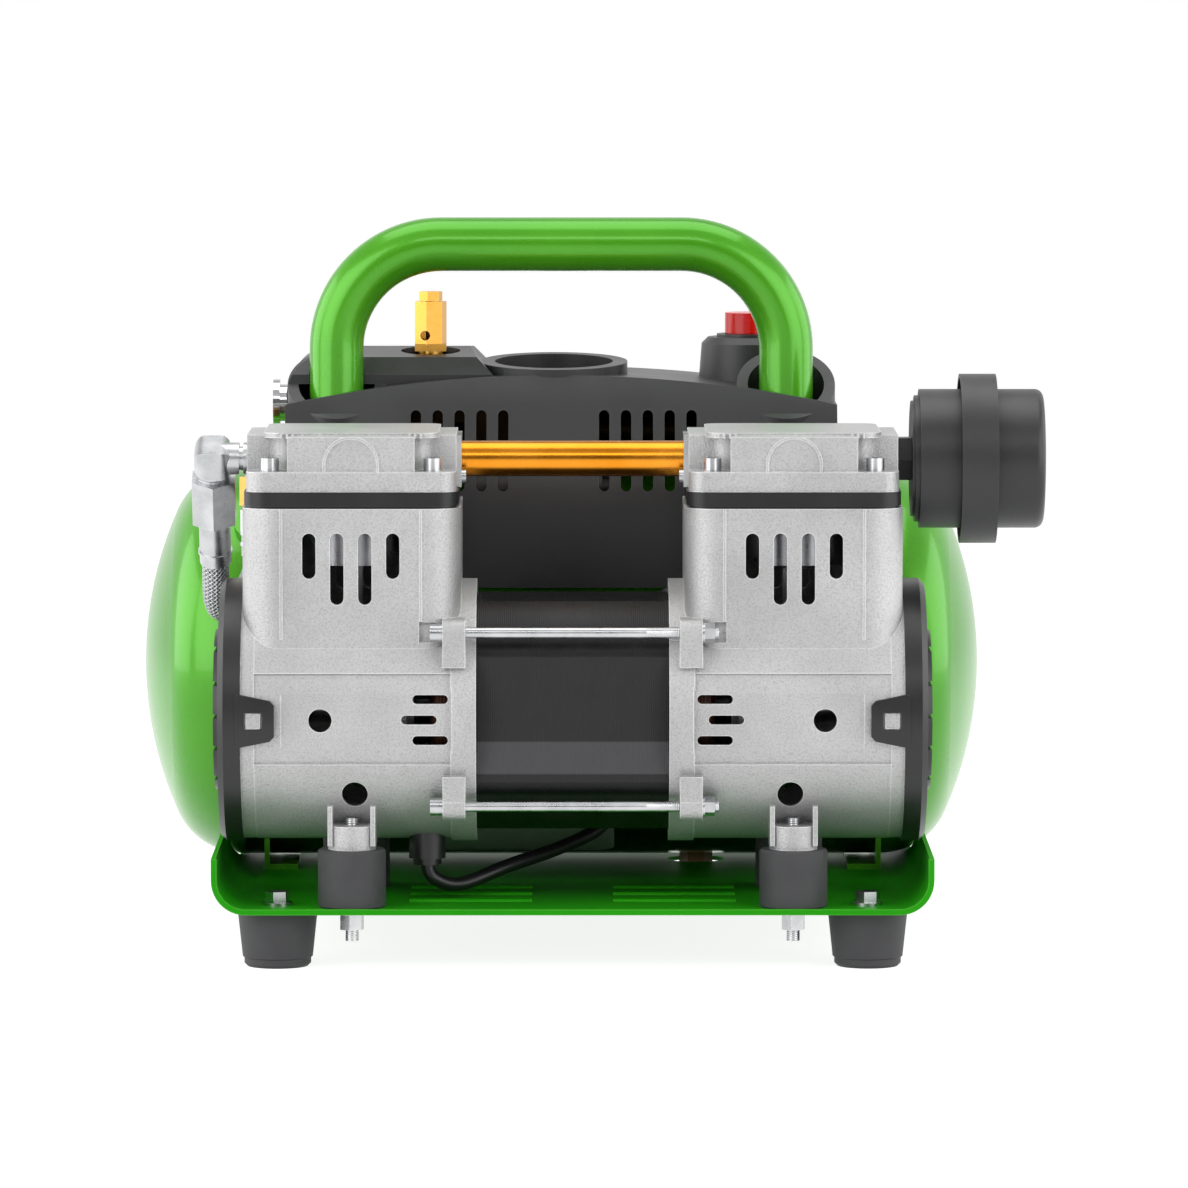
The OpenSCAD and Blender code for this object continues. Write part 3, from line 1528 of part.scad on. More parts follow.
module pressure_switch() {
    color(plastic_black) placed() difference() {
        union() {
            translate([switch_x0, switch_y0, tank_top]) cube([50, 40, switch_top_z - tank_top]);
            bar_z(switch_top_z - 1, switch_top_z + 12, tank_x + tower_x, tower_y, 9);
        }
        bar_x(tank_x - 200, tank_x + 200, tank_y, tank_z, tank_r + seat);
        bar_z(switch_top_z - 8, switch_top_z + 13, tank_x + tower_x, tower_y, 6);
        bar_x(switch_x0 - 1, switch_x0 + 8, manifold_y, port_z, 3);
    }
}

module switch_button() {
    color([0.9, 0.08, 0.08]) placed() translate([tank_x + tower_x, tower_y, 0]) {
        bar_z(tower_z + 2, tower_z + 11.7, 0, 0, button_r);
        bar_z(tower_z - 10, tower_z + 2, 0, 0, button_r - 1);
        bar_z(switch_top_z - 2, tower_z - 9, 0, 0, 5.9);
    }
}

cap_r = 17.5;
cap_y = tank_y - 69;
cap_z = tank_z + sqrt(pow(tank_r + cap_r, 2) - pow(tank_y - cap_y, 2)) + 0.5;

module run_capacitor() {
    color(plastic_black) placed() {
        bar_x(-48, 14, cap_y, cap_z, cap_r);
        bar_x(14, 20, cap_y, cap_z, 6);
        difference() {
            translate([-40, cap_y - 4, cap_z - cap_r - 5]) cube([46, 20, cap_r]);
            bar_x(-60, 60, tank_y, tank_z, tank_r + seat);
        }
    }
}

// Regulator and the two gauges on the rear panel

gauge_r = 18;
dial_r = 16.5;
block_low = -30;
block_high = -20;

module regulator_body() {
    color(brass) placed() difference() {
        in_house() on_panel(knob_x) difference() {
            union() {
                translate([-gauge_x - 7, -6, block_low])
                    cube([2 * gauge_x + 14, 12, block_high - block_low]);
                bar_z(block_high, -house_wall, 0, 0, 14);
                bar_z(-house_wall, 3, 0, 0, 9);
                bar_z(2, 10, 0, 0, 4);
            }
            for (s = [-1, 1])
                bar_z(block_low + 2, block_high + 1, s * gauge_x, 0, 5 + seat);
            rotate([0, 90, 0]) translate([25, 0, -gauge_x]) cylinder(h = 2 * gauge_x, r = 2);
        }
        bar_y(manifold_y, branch_end_y, branch_x, branch_z, 4.5 + seat);
    }
}

module regulator_knob() {
    color(plastic_black) placed() in_house() on_panel(knob_x) difference() {
        rotate_extrude() polygon([[0, 3.4], [12.2, 3.4], [13, 4.2], [12.4, 13], [11.2, 14.2],
            [0, 14.2]]);
        bar_z(3, 10.5, 0, 0, 4 + run_fit);
        for (a = [0 : 24 : 336]) rotate([0, 0, a]) bar_z(6, 15, 13.4, 0, 1.3);
    }
}

module at_gauges() {
    for (s = [-1, 1]) in_house() on_panel(s * gauge_x) children();
}

module gauge_cases() {
    color(plastic_black) placed() at_gauges() difference() {
        union() {
            bar_z(-18, 1, 0, 0, gauge_r);
            bar_z(0, 4, 0, 0, gauge_r + 2);
            bar_z(block_low + 2, -17, 0, 0, 5);
        }
        bar_z(-15, 0, 0, 0, dial_r - 1.5);
        bar_z(-3, 3.2, 0, 0, dial_r);
        bar_z(3, 5, 0, 0, dial_r - 1);
        bar_z(block_low, -14, 0, 0, 1.5);
    }
}

module gauge_dials() {
    color([0.95, 0.95, 0.95]) placed() at_gauges() difference() {
        bar_z(-3, -2, 0, 0, dial_r - seat);
        bar_z(-4, -1, 0, 0, 0.65);
    }
}

module gauge_lenses() {
    color([0.8, 0.9, 0.95, 0.4]) placed() at_gauges() bar_z(1.6, 3.2, 0, 0, dial_r - seat);
}

module needle() {
    bar_z(-2.9, -0.4, 0, 0, 0.6);
    bar_z(-1.5, -0.9, 0, 0, 2);
    translate([0, 0, -1.5]) rotate([0, 0, 225]) linear_extrude(0.6)
        polygon([[-5, -1], [0, -1], [13, -0.3], [13, 0.3], [0, 1], [-5, 1]]);
}

module tank_gauge_needle() {
    color(plastic_black) placed() in_house() on_panel(-gauge_x) needle();
}

module outlet_gauge_needle() {
    color(plastic_black) placed() in_house() on_panel(gauge_x) needle();
}

// Drain under the tank, through the tray's round hole

drain_knob_low = 8.6;

module drain_valve() {
    color(brass) placed() difference() {
        translate([drain_x, tank_y, 0]) {
            bar_z(tank_z - tank_r - 2, tank_z - tank_r + 7, 0, 0, 5 + slip - seat);
            difference() {
                hex_z(23, tank_z - tank_r + 2, 14);
                bar_x(-20, 20, 0, tank_z, tank_r + seat);
            }
            bar_z(19.2, 24, 0, 0, 5);
            bar_z(12, 20, 0, 0, 3);
        }
        bar_z(18, 50, drain_x, tank_y, 1.5);
    }
}

module drain_knob() {
    color(plastic_black) placed() translate([drain_x, tank_y, 0]) difference() {
        bar_z(drain_knob_low, 18.8, 0, 0, 9);
        bar_z(11.5, 20, 0, 0, 3 + run_fit);
        for (a = [0 : 30 : 330]) rotate([0, 0, a]) bar_z(8, 19, 9.6, 0, 1.4);
    }
}

base_tray();
tank_saddles();
tank_shell();
rubber_feet();
foot_bolts();
pump_buffers();
buffer_fasteners();
crankcase_left();
crankcase_right();
cylinder_sleeves();
valve_plates();
reed_valves();
head_left();
head_right();
head_screws();
stator_core();
stator_windings();
tie_bolts();
fan_cover_left();
fan_cover_right();
main_bearings();
transfer_tube();
tube_clamps();
filter_body();
filter_cap();
filter_element();
outlet_elbow();
hose_fittings();
braided_hose();
check_valve();
motor_lead();
cable_glands();
housing_front();
housing_rear();
housing_screws();
carry_handle();
safety_valve_body();
safety_valve_stem();
air_manifold();
pressure_switch();
switch_button();
run_capacitor();
quick_coupler();
coupler_sleeve();
regulator_body();
regulator_knob();
gauge_cases();
gauge_dials();
gauge_lenses();
tank_gauge_needle();
outlet_gauge_needle();
drain_valve();
drain_knob();
rotor_shaft();
rotor_core();
eccentrics();
cooling_fans();
piston_left();
piston_right();
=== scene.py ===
import json
import math

import bmesh
import bpy
import numpy as np
from mathutils import Matrix, Vector


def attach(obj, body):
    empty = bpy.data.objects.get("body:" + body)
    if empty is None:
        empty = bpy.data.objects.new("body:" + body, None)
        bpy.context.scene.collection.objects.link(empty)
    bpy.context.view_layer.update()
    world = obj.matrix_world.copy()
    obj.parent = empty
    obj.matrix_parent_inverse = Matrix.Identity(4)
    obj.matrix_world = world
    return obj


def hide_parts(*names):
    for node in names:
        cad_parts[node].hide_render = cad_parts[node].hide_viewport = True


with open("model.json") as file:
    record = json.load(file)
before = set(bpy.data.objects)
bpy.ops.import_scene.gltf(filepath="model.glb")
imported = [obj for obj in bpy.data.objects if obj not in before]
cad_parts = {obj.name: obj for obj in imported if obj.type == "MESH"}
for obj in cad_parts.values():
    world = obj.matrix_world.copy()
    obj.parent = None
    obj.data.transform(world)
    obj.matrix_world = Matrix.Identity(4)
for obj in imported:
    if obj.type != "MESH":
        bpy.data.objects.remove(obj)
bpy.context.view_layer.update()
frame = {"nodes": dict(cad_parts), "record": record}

nodes = frame["nodes"]
print("frame loaded:", len(nodes), "nodes")

# Camera: at the height of the handle, four metres in front, with a long lens

cameraPlan = {
    "place": (-0.0056, -4.0195, 0.4836),
    "pitch": 4.566,
    "yaw": 0.14,
    "lens": 255.3,
}


def makeCamera(plan):
    data = bpy.data.cameras.new("photoCamera")
    data.sensor_fit = "HORIZONTAL"
    data.sensor_width = 36
    data.lens = plan["lens"]
    data.clip_end = 200
    camera = bpy.data.objects.new("photoCamera", data)
    camera.location = plan["place"]
    camera.rotation_euler = (math.radians(90 - plan["pitch"]), 0, -math.radians(plan["yaw"]))
    bpy.context.collection.objects.link(camera)
    bpy.context.scene.camera = camera
    return camera


makeCamera(cameraPlan)
print("camera ready")

# Floor, backdrop and lamps

studioPlan = {
    "floorSize": 120.0,
    "floorTone": 0.42,
    "floorGlow": 0.86,  # lifts the floor to white for the camera
    "worldLight": 0.34,
    "frontShade": 0.16,  # what gloss sees behind the camera
    "topShade": 0.55,  # and overhead
    "lamps": [
        # name, place, aim, width, height, power
        ("leftBox", (-1.35, -1.15, 0.75), (-0.05, 0, 0.16), 1.7, 1.5, 17),
        ("rightBox", (1.35, -1.15, 0.75), (0.05, 0, 0.16), 1.7, 1.5, 15),
        ("leftSide", (-1.8, 0.35, 0.6), (0, 0, 0.15), 1.3, 1.3, 11),
        ("rightSide", (1.8, 0.35, 0.6), (0, 0, 0.15), 1.3, 1.3, 9),
        ("topBox", (0.0, 0.1, 1.8), (0, 0, 0.2), 1.8, 1.3, 15),
        ("frontBox", (0.0, -3.0, 2.0), (0, 0, 0.15), 1.2, 0.6, 7),
    ],
}


def linearColour(red, green, blue):
    # sRGB bytes to linear light, by the usual two-part curve
    out = []
    for value in (red, green, blue):
        c = value / 255
        out.append(c / 12.92 if c <= 0.04045 else ((c + 0.055) / 1.055) ** 2.4)
    return (*out, 1.0)


def addMath(tree, kind, first, second=None, clamp=False):
    node = tree.nodes.new("ShaderNodeMath")
    node.operation = kind
    node.use_clamp = clamp
    for slot, value in enumerate((first, second)):
        if value is None:
            continue
        if isinstance(value, (int, float)):
            node.inputs[slot].default_value = value
        else:
            tree.links.new(value, node.inputs[slot])
    return node.outputs[0]


def spread(tree, value, low, high, fromLow=0.3, fromHigh=0.7):
    node = tree.nodes.new("ShaderNodeMapRange")
    node.inputs["From Min"].default_value = fromLow
    node.inputs["From Max"].default_value = fromHigh
    node.inputs["To Min"].default_value = low
    node.inputs["To Max"].default_value = high
    tree.links.new(value, node.inputs["Value"])
    return node.outputs["Result"]


def makeFloorFinish(plan):
    # Pale floor: the camera sees it lifted to white, and the object's shadow stays on it
    mat = bpy.data.materials.new("paleFloor")
    mat.use_nodes = True
    tree = mat.node_tree
    tree.nodes.clear()
    out = tree.nodes.new("ShaderNodeOutputMaterial")
    total = tree.nodes.new("ShaderNodeAddShader")
    path = tree.nodes.new("ShaderNodeLightPath")
    glow = tree.nodes.new("ShaderNodeEmission")
    plain = tree.nodes.new("ShaderNodeBsdfDiffuse")
    tone = plan["floorTone"]
    plain.inputs["Color"].default_value = (tone, tone, tone, 1)
    seen = addMath(tree, "MAXIMUM", path.outputs["Is Camera Ray"], path.outputs["Is Glossy Ray"])
    seen = addMath(tree, "MAXIMUM", seen, path.outputs["Is Transmission Ray"])
    tree.links.new(addMath(tree, "MULTIPLY", seen, plan["floorGlow"]), glow.inputs["Strength"])
    tree.links.new(plain.outputs[0], total.inputs[0])
    tree.links.new(glow.outputs[0], total.inputs[1])
    tree.links.new(total.outputs[0], out.inputs["Surface"])
    return mat


def makeWorld(plan):
    # The camera and glass see white; gloss sees white at the sides and behind, darker
    # in front, where the camera stands, and overhead
    world = bpy.data.worlds.new("studio")
    bpy.context.scene.world = world
    world.use_nodes = True
    tree = world.node_tree
    tree.nodes.clear()
    out = tree.nodes.new("ShaderNodeOutputWorld")
    mix = tree.nodes.new("ShaderNodeMixShader")
    path = tree.nodes.new("ShaderNodeLightPath")
    seen = tree.nodes.new("ShaderNodeBackground")
    lit = tree.nodes.new("ShaderNodeBackground")
    where = tree.nodes.new("ShaderNodeTexCoord")
    axes = tree.nodes.new("ShaderNodeSeparateXYZ")
    tree.links.new(where.outputs["Generated"], axes.inputs[0])
    front = addMath(tree, "MULTIPLY", axes.outputs["Y"], -1.0)
    front = spread(tree, front, 1.0, plan["frontShade"], 0.72, 0.93)
    over = spread(tree, axes.outputs["Z"], 1.0, plan["topShade"], 0.35, 0.8)
    glossLevel = addMath(tree, "MULTIPLY", front, over)
    plainSight = addMath(tree, "MAXIMUM", path.outputs["Is Camera Ray"],
                         path.outputs["Is Transmission Ray"])
    level = addMath(tree, "MAXIMUM", plainSight, glossLevel)
    tree.links.new(level, seen.inputs["Strength"])
    seen.inputs["Color"].default_value = (1, 1, 1, 1)
    lit.inputs["Color"].default_value = (1, 1, 1, 1)
    lit.inputs["Strength"].default_value = plan["worldLight"]
    sight = addMath(tree, "MAXIMUM", plainSight, path.outputs["Is Glossy Ray"])
    tree.links.new(sight, mix.inputs["Fac"])
    tree.links.new(lit.outputs[0], mix.inputs[1])
    tree.links.new(seen.outputs[0], mix.inputs[2])
    tree.links.new(mix.outputs[0], out.inputs["Surface"])


def makeStudio(plan):
    mesh = bpy.data.meshes.new("floor")
    h = plan["floorSize"] / 2
    mesh.from_pydata([(-h, -h, 0), (h, -h, 0), (h, h, 0), (-h, h, 0)], [], [(0, 1, 2, 3)])
    floor = bpy.data.objects.new("floor", mesh)
    floor.data.materials.append(makeFloorFinish(plan))
    bpy.context.collection.objects.link(floor)
    makeWorld(plan)
    for name, place, aim, width, tall, power in plan["lamps"]:
        data = bpy.data.lights.new(name, "AREA")
        data.shape = "RECTANGLE"
        data.size, data.size_y = width, tall
        data.energy = power
        lamp = bpy.data.objects.new(name, data)
        lamp.location = place
        lamp.rotation_euler = (Vector(aim) - Vector(place)).to_track_quat("-Z", "Y").to_euler()
        bpy.context.collection.objects.link(lamp)


makeStudio(studioPlan)
bpy.context.scene.view_settings.view_transform = "Standard"
print("studio ready")

# Shared effects as node groups


def newGroup(name, inputs, outputs):
    group = bpy.data.node_groups.new(name, "ShaderNodeTree")
    for label, kind, value in inputs:
        socket = group.interface.new_socket(label, in_out="INPUT", socket_type=kind)
        socket.default_value = value
    for label, kind in outputs:
        group.interface.new_socket(label, in_out="OUTPUT", socket_type=kind)
    start = group.nodes.new("NodeGroupInput")
    end = group.nodes.new("NodeGroupOutput")
    return group, start, end


def buildEdgeHighlight():
    # Painted highlight along edges: a mask of how far the rounded normal leans from the true one,
    # broken up by a coarse noise
    group, start, end = newGroup(
        "edgeHighlight",
        [("Radius", "NodeSocketFloat", 0.0006), ("Gain", "NodeSocketFloat", 4.0),
         ("Patch", "NodeSocketFloat", 60.0)],
        [("Mask", "NodeSocketFloat")])
    bevel = group.nodes.new("ShaderNodeBevel")
    bevel.samples = 4
    shape = group.nodes.new("ShaderNodeNewGeometry")
    lean = group.nodes.new("ShaderNodeVectorMath")
    lean.operation = "DOT_PRODUCT"
    where = group.nodes.new("ShaderNodeTexCoord")
    noise = group.nodes.new("ShaderNodeTexNoise")
    noise.inputs["Detail"].default_value = 3
    group.links.new(start.outputs["Radius"], bevel.inputs["Radius"])
    group.links.new(shape.outputs["Normal"], lean.inputs[0])
    group.links.new(bevel.outputs["Normal"], lean.inputs[1])
    group.links.new(where.outputs["Object"], noise.inputs["Vector"])
    group.links.new(start.outputs["Patch"], noise.inputs["Scale"])
    drop = addMath(group, "SUBTRACT", 1.0, lean.outputs["Value"])
    strong = addMath(group, "MULTIPLY", drop, start.outputs["Gain"])
    broken = addMath(group, "MULTIPLY", strong, addMath(group, "ADD", noise.outputs["Fac"], 0.5))
    group.links.new(addMath(group, "MINIMUM", broken, 1.0), end.inputs["Mask"])
    return group


def buildGrain():
    # Fine and coarse noise: a speckle and a cloud about 0.5 for tint, and the fine one as height
    group, start, end = newGroup(
        "skinGrain",
        [("Fine", "NodeSocketFloat", 2500.0), ("Coarse", "NodeSocketFloat", 40.0)],
        [("Speckle", "NodeSocketFloat"), ("Cloud", "NodeSocketFloat"),
         ("Height", "NodeSocketFloat")])
    where = group.nodes.new("ShaderNodeTexCoord")
    for label, out, detail in (("Fine", "Speckle", 2), ("Coarse", "Cloud", 4)):
        noise = group.nodes.new("ShaderNodeTexNoise")
        noise.inputs["Detail"].default_value = detail
        group.links.new(where.outputs["Object"], noise.inputs["Vector"])
        group.links.new(start.outputs[label], noise.inputs["Scale"])
        group.links.new(noise.outputs["Fac"], end.inputs[out])
        if label == "Fine":
            group.links.new(noise.outputs["Fac"], end.inputs["Height"])
    return group


def buildDust():
    # Pale dust that settles on faces turned up, broken by a coarse noise
    group, start, end = newGroup(
        "settledDust", [("Amount", "NodeSocketFloat", 0.3)], [("Mask", "NodeSocketFloat")])
    shape = group.nodes.new("ShaderNodeNewGeometry")
    axes = group.nodes.new("ShaderNodeSeparateXYZ")
    where = group.nodes.new("ShaderNodeTexCoord")
    noise = group.nodes.new("ShaderNodeTexNoise")
    noise.inputs["Scale"].default_value = 45.0
    noise.inputs["Detail"].default_value = 5
    group.links.new(shape.outputs["Normal"], axes.inputs[0])
    group.links.new(where.outputs["Object"], noise.inputs["Vector"])
    up = spread(group, axes.outputs["Z"], 0.0, 1.0, 0.5, 1.0)
    patch = spread(group, noise.outputs["Fac"], 0.2, 1.0, 0.4, 0.7)
    mask = addMath(group, "MULTIPLY", up, patch)
    group.links.new(addMath(group, "MULTIPLY", mask, start.outputs["Amount"]), end.inputs["Mask"])
    return group


edgeHighlight = buildEdgeHighlight()
skinGrain = buildGrain()
settledDust = buildDust()
print("effects ready")

# Materials


def placeGroup(tree, group, **values):
    node = tree.nodes.new("ShaderNodeGroup")
    node.node_tree = group
    for label, value in values.items():
        node.inputs[label].default_value = value
    return node


def mixColour(tree, factor, first, second):
    node = tree.nodes.new("ShaderNodeMix")
    node.data_type = "RGBA"
    for slot, value in ((6, first), (7, second)):
        if isinstance(value, tuple):
            node.inputs[slot].default_value = value
        else:
            tree.links.new(value, node.inputs[slot])
    tree.links.new(factor, node.inputs[0])
    return node.outputs[2]


def addLines(tree, plan):
    # Straight grooves across one axis, with a little noise in their spacing
    where = tree.nodes.new("ShaderNodeTexCoord")
    wave = tree.nodes.new("ShaderNodeTexWave")
    wave.wave_type = "BANDS"
    wave.bands_direction = plan["axis"]
    wave.inputs["Scale"].default_value = plan["scale"]
    wave.inputs["Distortion"].default_value = plan.get("distortion", 0.4)
    wave.inputs["Detail"].default_value = 2
    tree.links.new(where.outputs["Object"], wave.inputs["Vector"])
    return wave.outputs["Fac"]


def addBand(tree, low, high):
    # 1 between two heights, in metres, and 0 above and below
    where = tree.nodes.new("ShaderNodeTexCoord")
    axes = tree.nodes.new("ShaderNodeSeparateXYZ")
    tree.links.new(where.outputs["Object"], axes.inputs[0])
    over = spread(tree, axes.outputs["Z"], 0.0, 1.0, low - 0.0003, low + 0.0003)
    under = spread(tree, axes.outputs["Z"], 1.0, 0.0, high - 0.0003, high + 0.0003)
    return addMath(tree, "MULTIPLY", over, under)


def makeFinish(name, plan):
    # One finish: a tint that clouds and speckles, painted highlights along the edges, dust, and a grain
    # in the bump
    mat = bpy.data.materials.new(name)
    mat.use_nodes = True
    tree = mat.node_tree
    shader = tree.nodes["Principled BSDF"]
    shader.inputs["Metallic"].default_value = plan.get("metal", 0.0)
    shader.inputs["Coat Weight"].default_value = plan.get("coat", 0.0)
    shader.inputs["Coat Roughness"].default_value = plan.get("coatRough", 0.08)
    shader.inputs["Specular IOR Level"].default_value = plan.get("specular", 0.5)
    grain = placeGroup(tree, skinGrain, Fine=plan.get("fine", 2500.0), Coarse=plan.get("coarse", 40.0))
    cloud = spread(tree, grain.outputs["Cloud"], 0.0, 1.0)
    colour = mixColour(tree, cloud, plan["dark"], plan["light"])
    if plan.get("lines") and plan["lines"].get("tint"):
        # the tint lies in the grooves, where the wave is low
        groove = spread(tree, addLines(tree, plan["lines"]), 0.7, 0.0, 0.2, 0.8)
        colour = mixColour(tree, groove, colour, plan["lines"]["tint"])
    # bands of a set tone between two heights; on the laminations they hold a painted reflection and
    # painted shade
    for low, high, tint in plan.get("bands", []):
        colour = mixColour(tree, addBand(tree, low, high), colour, tint)
    if plan.get("speckle"):
        speck = spread(tree, grain.outputs["Speckle"], 0.0, plan["speckle"], 0.45, 0.75)
        colour = mixColour(tree, speck, colour, plan["speckTint"])
    if plan.get("dust"):
        dust = placeGroup(tree, settledDust, Amount=plan["dust"])
        colour = mixColour(tree, dust.outputs["Mask"], colour, plan["dustTint"])
    # painted highlight: the edges are tinted lighter, as if they caught the light
    if plan.get("edge"):
        edgeLit = placeGroup(tree, edgeHighlight, Radius=plan.get("edgeRadius", 0.0006),
                          Gain=plan.get("edgeGain", 4.0), Patch=plan.get("edgePatch", 60.0))
        mask = addMath(tree, "MULTIPLY", edgeLit.outputs["Mask"], plan["edge"])
        colour = mixColour(tree, mask, colour, plan["edgeHighlightTint"])
    tree.links.new(colour, shader.inputs["Base Color"])
    rough = spread(tree, grain.outputs["Cloud"], plan["rough"][0], plan["rough"][1])
    tree.links.new(rough, shader.inputs["Roughness"])
    bump = tree.nodes.new("ShaderNodeBump")
    bump.inputs["Strength"].default_value = plan.get("bump", 0.1)
    bump.inputs["Distance"].default_value = plan.get("bumpDepth", 0.0002)
    height = addLines(tree, plan["lines"]) if plan.get("lines") else grain.outputs["Height"]
    tree.links.new(height, bump.inputs["Height"])
    tree.links.new(bump.outputs["Normal"], shader.inputs["Normal"])
    return mat


finishes = {
    "green_paint": {
        "dark": linearColour(72, 160, 22), "light": linearColour(82, 170, 28), "metal": 0.3,
        "rough": (0.24, 0.3), "coat": 0.4, "coatRough": 0.06, "specular": 0.25, "fine": 500.0,
        "coarse": 12.0, "bump": 0.03, "edge": 0.3, "edgeHighlightTint": linearColour(150, 215, 110),
        "edgeRadius": 0.0008},
    "trayPaint": {
        "dark": linearColour(34, 158, 12), "light": linearColour(44, 168, 18),
        "rough": (0.42, 0.5), "specular": 0.12, "fine": 500.0, "coarse": 14.0, "bump": 0.03,
        "edge": 0.6, "edgeHighlightTint": linearColour(120, 205, 84), "edgeRadius": 0.001},
    "cast_aluminium": {
        "dark": linearColour(184, 184, 184), "light": linearColour(200, 200, 200),
        "metal": 0.5, "rough": (0.4, 0.5), "fine": 1250.0, "coarse": 25.0, "bump": 0.85,
        "bumpDepth": 0.00035, "speckle": 0.5, "speckTint": linearColour(132, 132, 133),
        "edge": 0.9, "edgeHighlightTint": linearColour(246, 246, 246), "edgeRadius": 0.0008, "edgeGain": 7.0},
    "black_plate": {
        "dark": linearColour(30, 30, 31), "light": linearColour(38, 38, 39), "metal": 0.3,
        "rough": (0.32, 0.42), "edge": 0.4, "edgeHighlightTint": linearColour(90, 90, 92)},
    "grey_plastic": {
        "dark": linearColour(38, 38, 39), "light": linearColour(46, 46, 47),
        "rough": (0.36, 0.46), "fine": 3000.0, "bump": 0.25, "coarse": 20.0,
        "dust": 0.12, "dustTint": linearColour(150, 150, 150),
        "edge": 0.3, "edgeHighlightTint": linearColour(112, 112, 113)},
    "black_plastic": {
        "dark": linearColour(26, 26, 27), "light": linearColour(34, 34, 35),
        "rough": (0.32, 0.42), "fine": 3000.0, "bump": 0.2,
        "dust": 0.08, "dustTint": linearColour(140, 140, 140),
        "edge": 0.35, "edgeHighlightTint": linearColour(85, 85, 86)},
    "buffer_rubber": {
        "dark": linearColour(58, 58, 60), "light": linearColour(72, 72, 74),
        "rough": (0.6, 0.72), "fine": 2200.0, "bump": 0.25, "coarse": 60.0,
        "edge": 0.2, "edgeHighlightTint": linearColour(110, 110, 112)},
    "laminations": {
        "dark": linearColour(16, 16, 17), "light": linearColour(26, 26, 27), "metal": 0.4,
        "rough": (0.28, 0.4), "coarse": 60.0, "bump": 0.5, "bumpDepth": 0.0003,
        "lines": {"axis": "X", "scale": 350.0, "distortion": 0.2, "tint": linearColour(8, 8, 9)},
        # bands: a lighter band where the varnish is smooth, with its reflection painted in, and a thin
        # dark band of painted shade in a row of notches
        "bands": [(0.091, 0.106, linearColour(62, 62, 64)), (0.1455, 0.1475, linearColour(4, 4, 4))]},
    "zinc_steel": {
        "dark": linearColour(176, 178, 180), "light": linearColour(206, 207, 208), "metal": 1.0,
        "rough": (0.22, 0.36), "fine": 1800.0, "coarse": 90.0, "bump": 0.08,
        "edge": 0.4, "edgeHighlightTint": linearColour(240, 240, 240)},
    "spring_steel": {
        "dark": linearColour(170, 172, 174), "light": linearColour(200, 201, 203), "metal": 1.0,
        "rough": (0.18, 0.3)},
    "liner": {
        "dark": linearColour(160, 161, 164), "light": linearColour(190, 191, 194), "metal": 1.0,
        "rough": (0.22, 0.34), "lines": {"axis": "Z", "scale": 700.0}, "bump": 0.1},
    "copper": {
        "dark": linearColour(46, 24, 14), "light": linearColour(78, 42, 24), "metal": 0.6,
        "rough": (0.34, 0.46), "bump": 0.7, "lines": {"axis": "X", "scale": 220.0, "distortion": 2.0}},
    "orange_anodised": {
        "dark": linearColour(222, 138, 32), "light": linearColour(238, 156, 50), "metal": 1.0,
        "rough": (0.2, 0.28), "fine": 1500.0, "bump": 0.04},
    "filter_felt": {
        "dark": linearColour(206, 200, 180), "light": linearColour(226, 222, 206),
        "rough": (0.85, 0.95), "fine": 900.0, "bump": 0.6},
    "steel_braid": {
        "dark": linearColour(160, 161, 163), "light": linearColour(206, 207, 209), "metal": 1.0,
        "rough": (0.26, 0.38), "fine": 2400.0, "bump": 0.2},
    "brass_parts": {
        "dark": linearColour(206, 150, 62), "light": linearColour(226, 172, 84), "metal": 1.0,
        "rough": (0.24, 0.36), "coarse": 160.0, "fine": 1600.0, "bump": 0.08,
        "edge": 0.4, "edgeHighlightTint": linearColour(250, 214, 140)},
    # a darker copy of brass_parts: painted shade for brass parts out of the light
    "shadedBrass": {
        "dark": linearColour(58, 44, 22), "light": linearColour(82, 62, 32), "metal": 0.7,
        "rough": (0.45, 0.55), "coarse": 120.0, "fine": 1600.0, "bump": 0.1},
    "lead_jacket": {
        "dark": linearColour(20, 20, 21), "light": linearColour(28, 28, 29),
        "rough": (0.36, 0.46), "fine": 1400.0, "bump": 0.1},
    "red_button": {
        "dark": linearColour(220, 8, 10), "light": linearColour(232, 14, 14),
        "rough": (0.24, 0.32), "coat": 0.15, "specular": 0.3, "fine": 900.0, "bump": 0.03},
    "chrome_fitting": {
        "dark": linearColour(200, 201, 203), "light": linearColour(226, 226, 228), "metal": 1.0,
        "rough": (0.08, 0.16), "bump": 0.03},
    "dial_white": {
        "dark": linearColour(228, 228, 226), "light": linearColour(236, 236, 234),
        "rough": (0.5, 0.6)},
    "needle_black": {
        "dark": linearColour(20, 20, 20), "light": linearColour(28, 28, 28),
        "rough": (0.35, 0.45)},
    "crank_iron": {
        "dark": linearColour(96, 96, 98), "light": linearColour(124, 124, 126), "metal": 0.8,
        "rough": (0.45, 0.6), "bump": 0.3},
    "rod_aluminium": {
        "dark": linearColour(170, 170, 172), "light": linearColour(196, 196, 198), "metal": 0.8,
        "rough": (0.4, 0.5), "bump": 0.3},
    "wrapFilm": {
        "dark": linearColour(24, 24, 26), "light": linearColour(30, 30, 32),
        "rough": (0.3, 0.38), "coat": 0.6, "coatRough": 0.12, "fine": 900.0, "bump": 0.02},
    "barePanel": {
        "dark": linearColour(188, 189, 190), "light": linearColour(200, 201, 202),
        "rough": (0.42, 0.5), "fine": 900.0, "bump": 0.02},
}


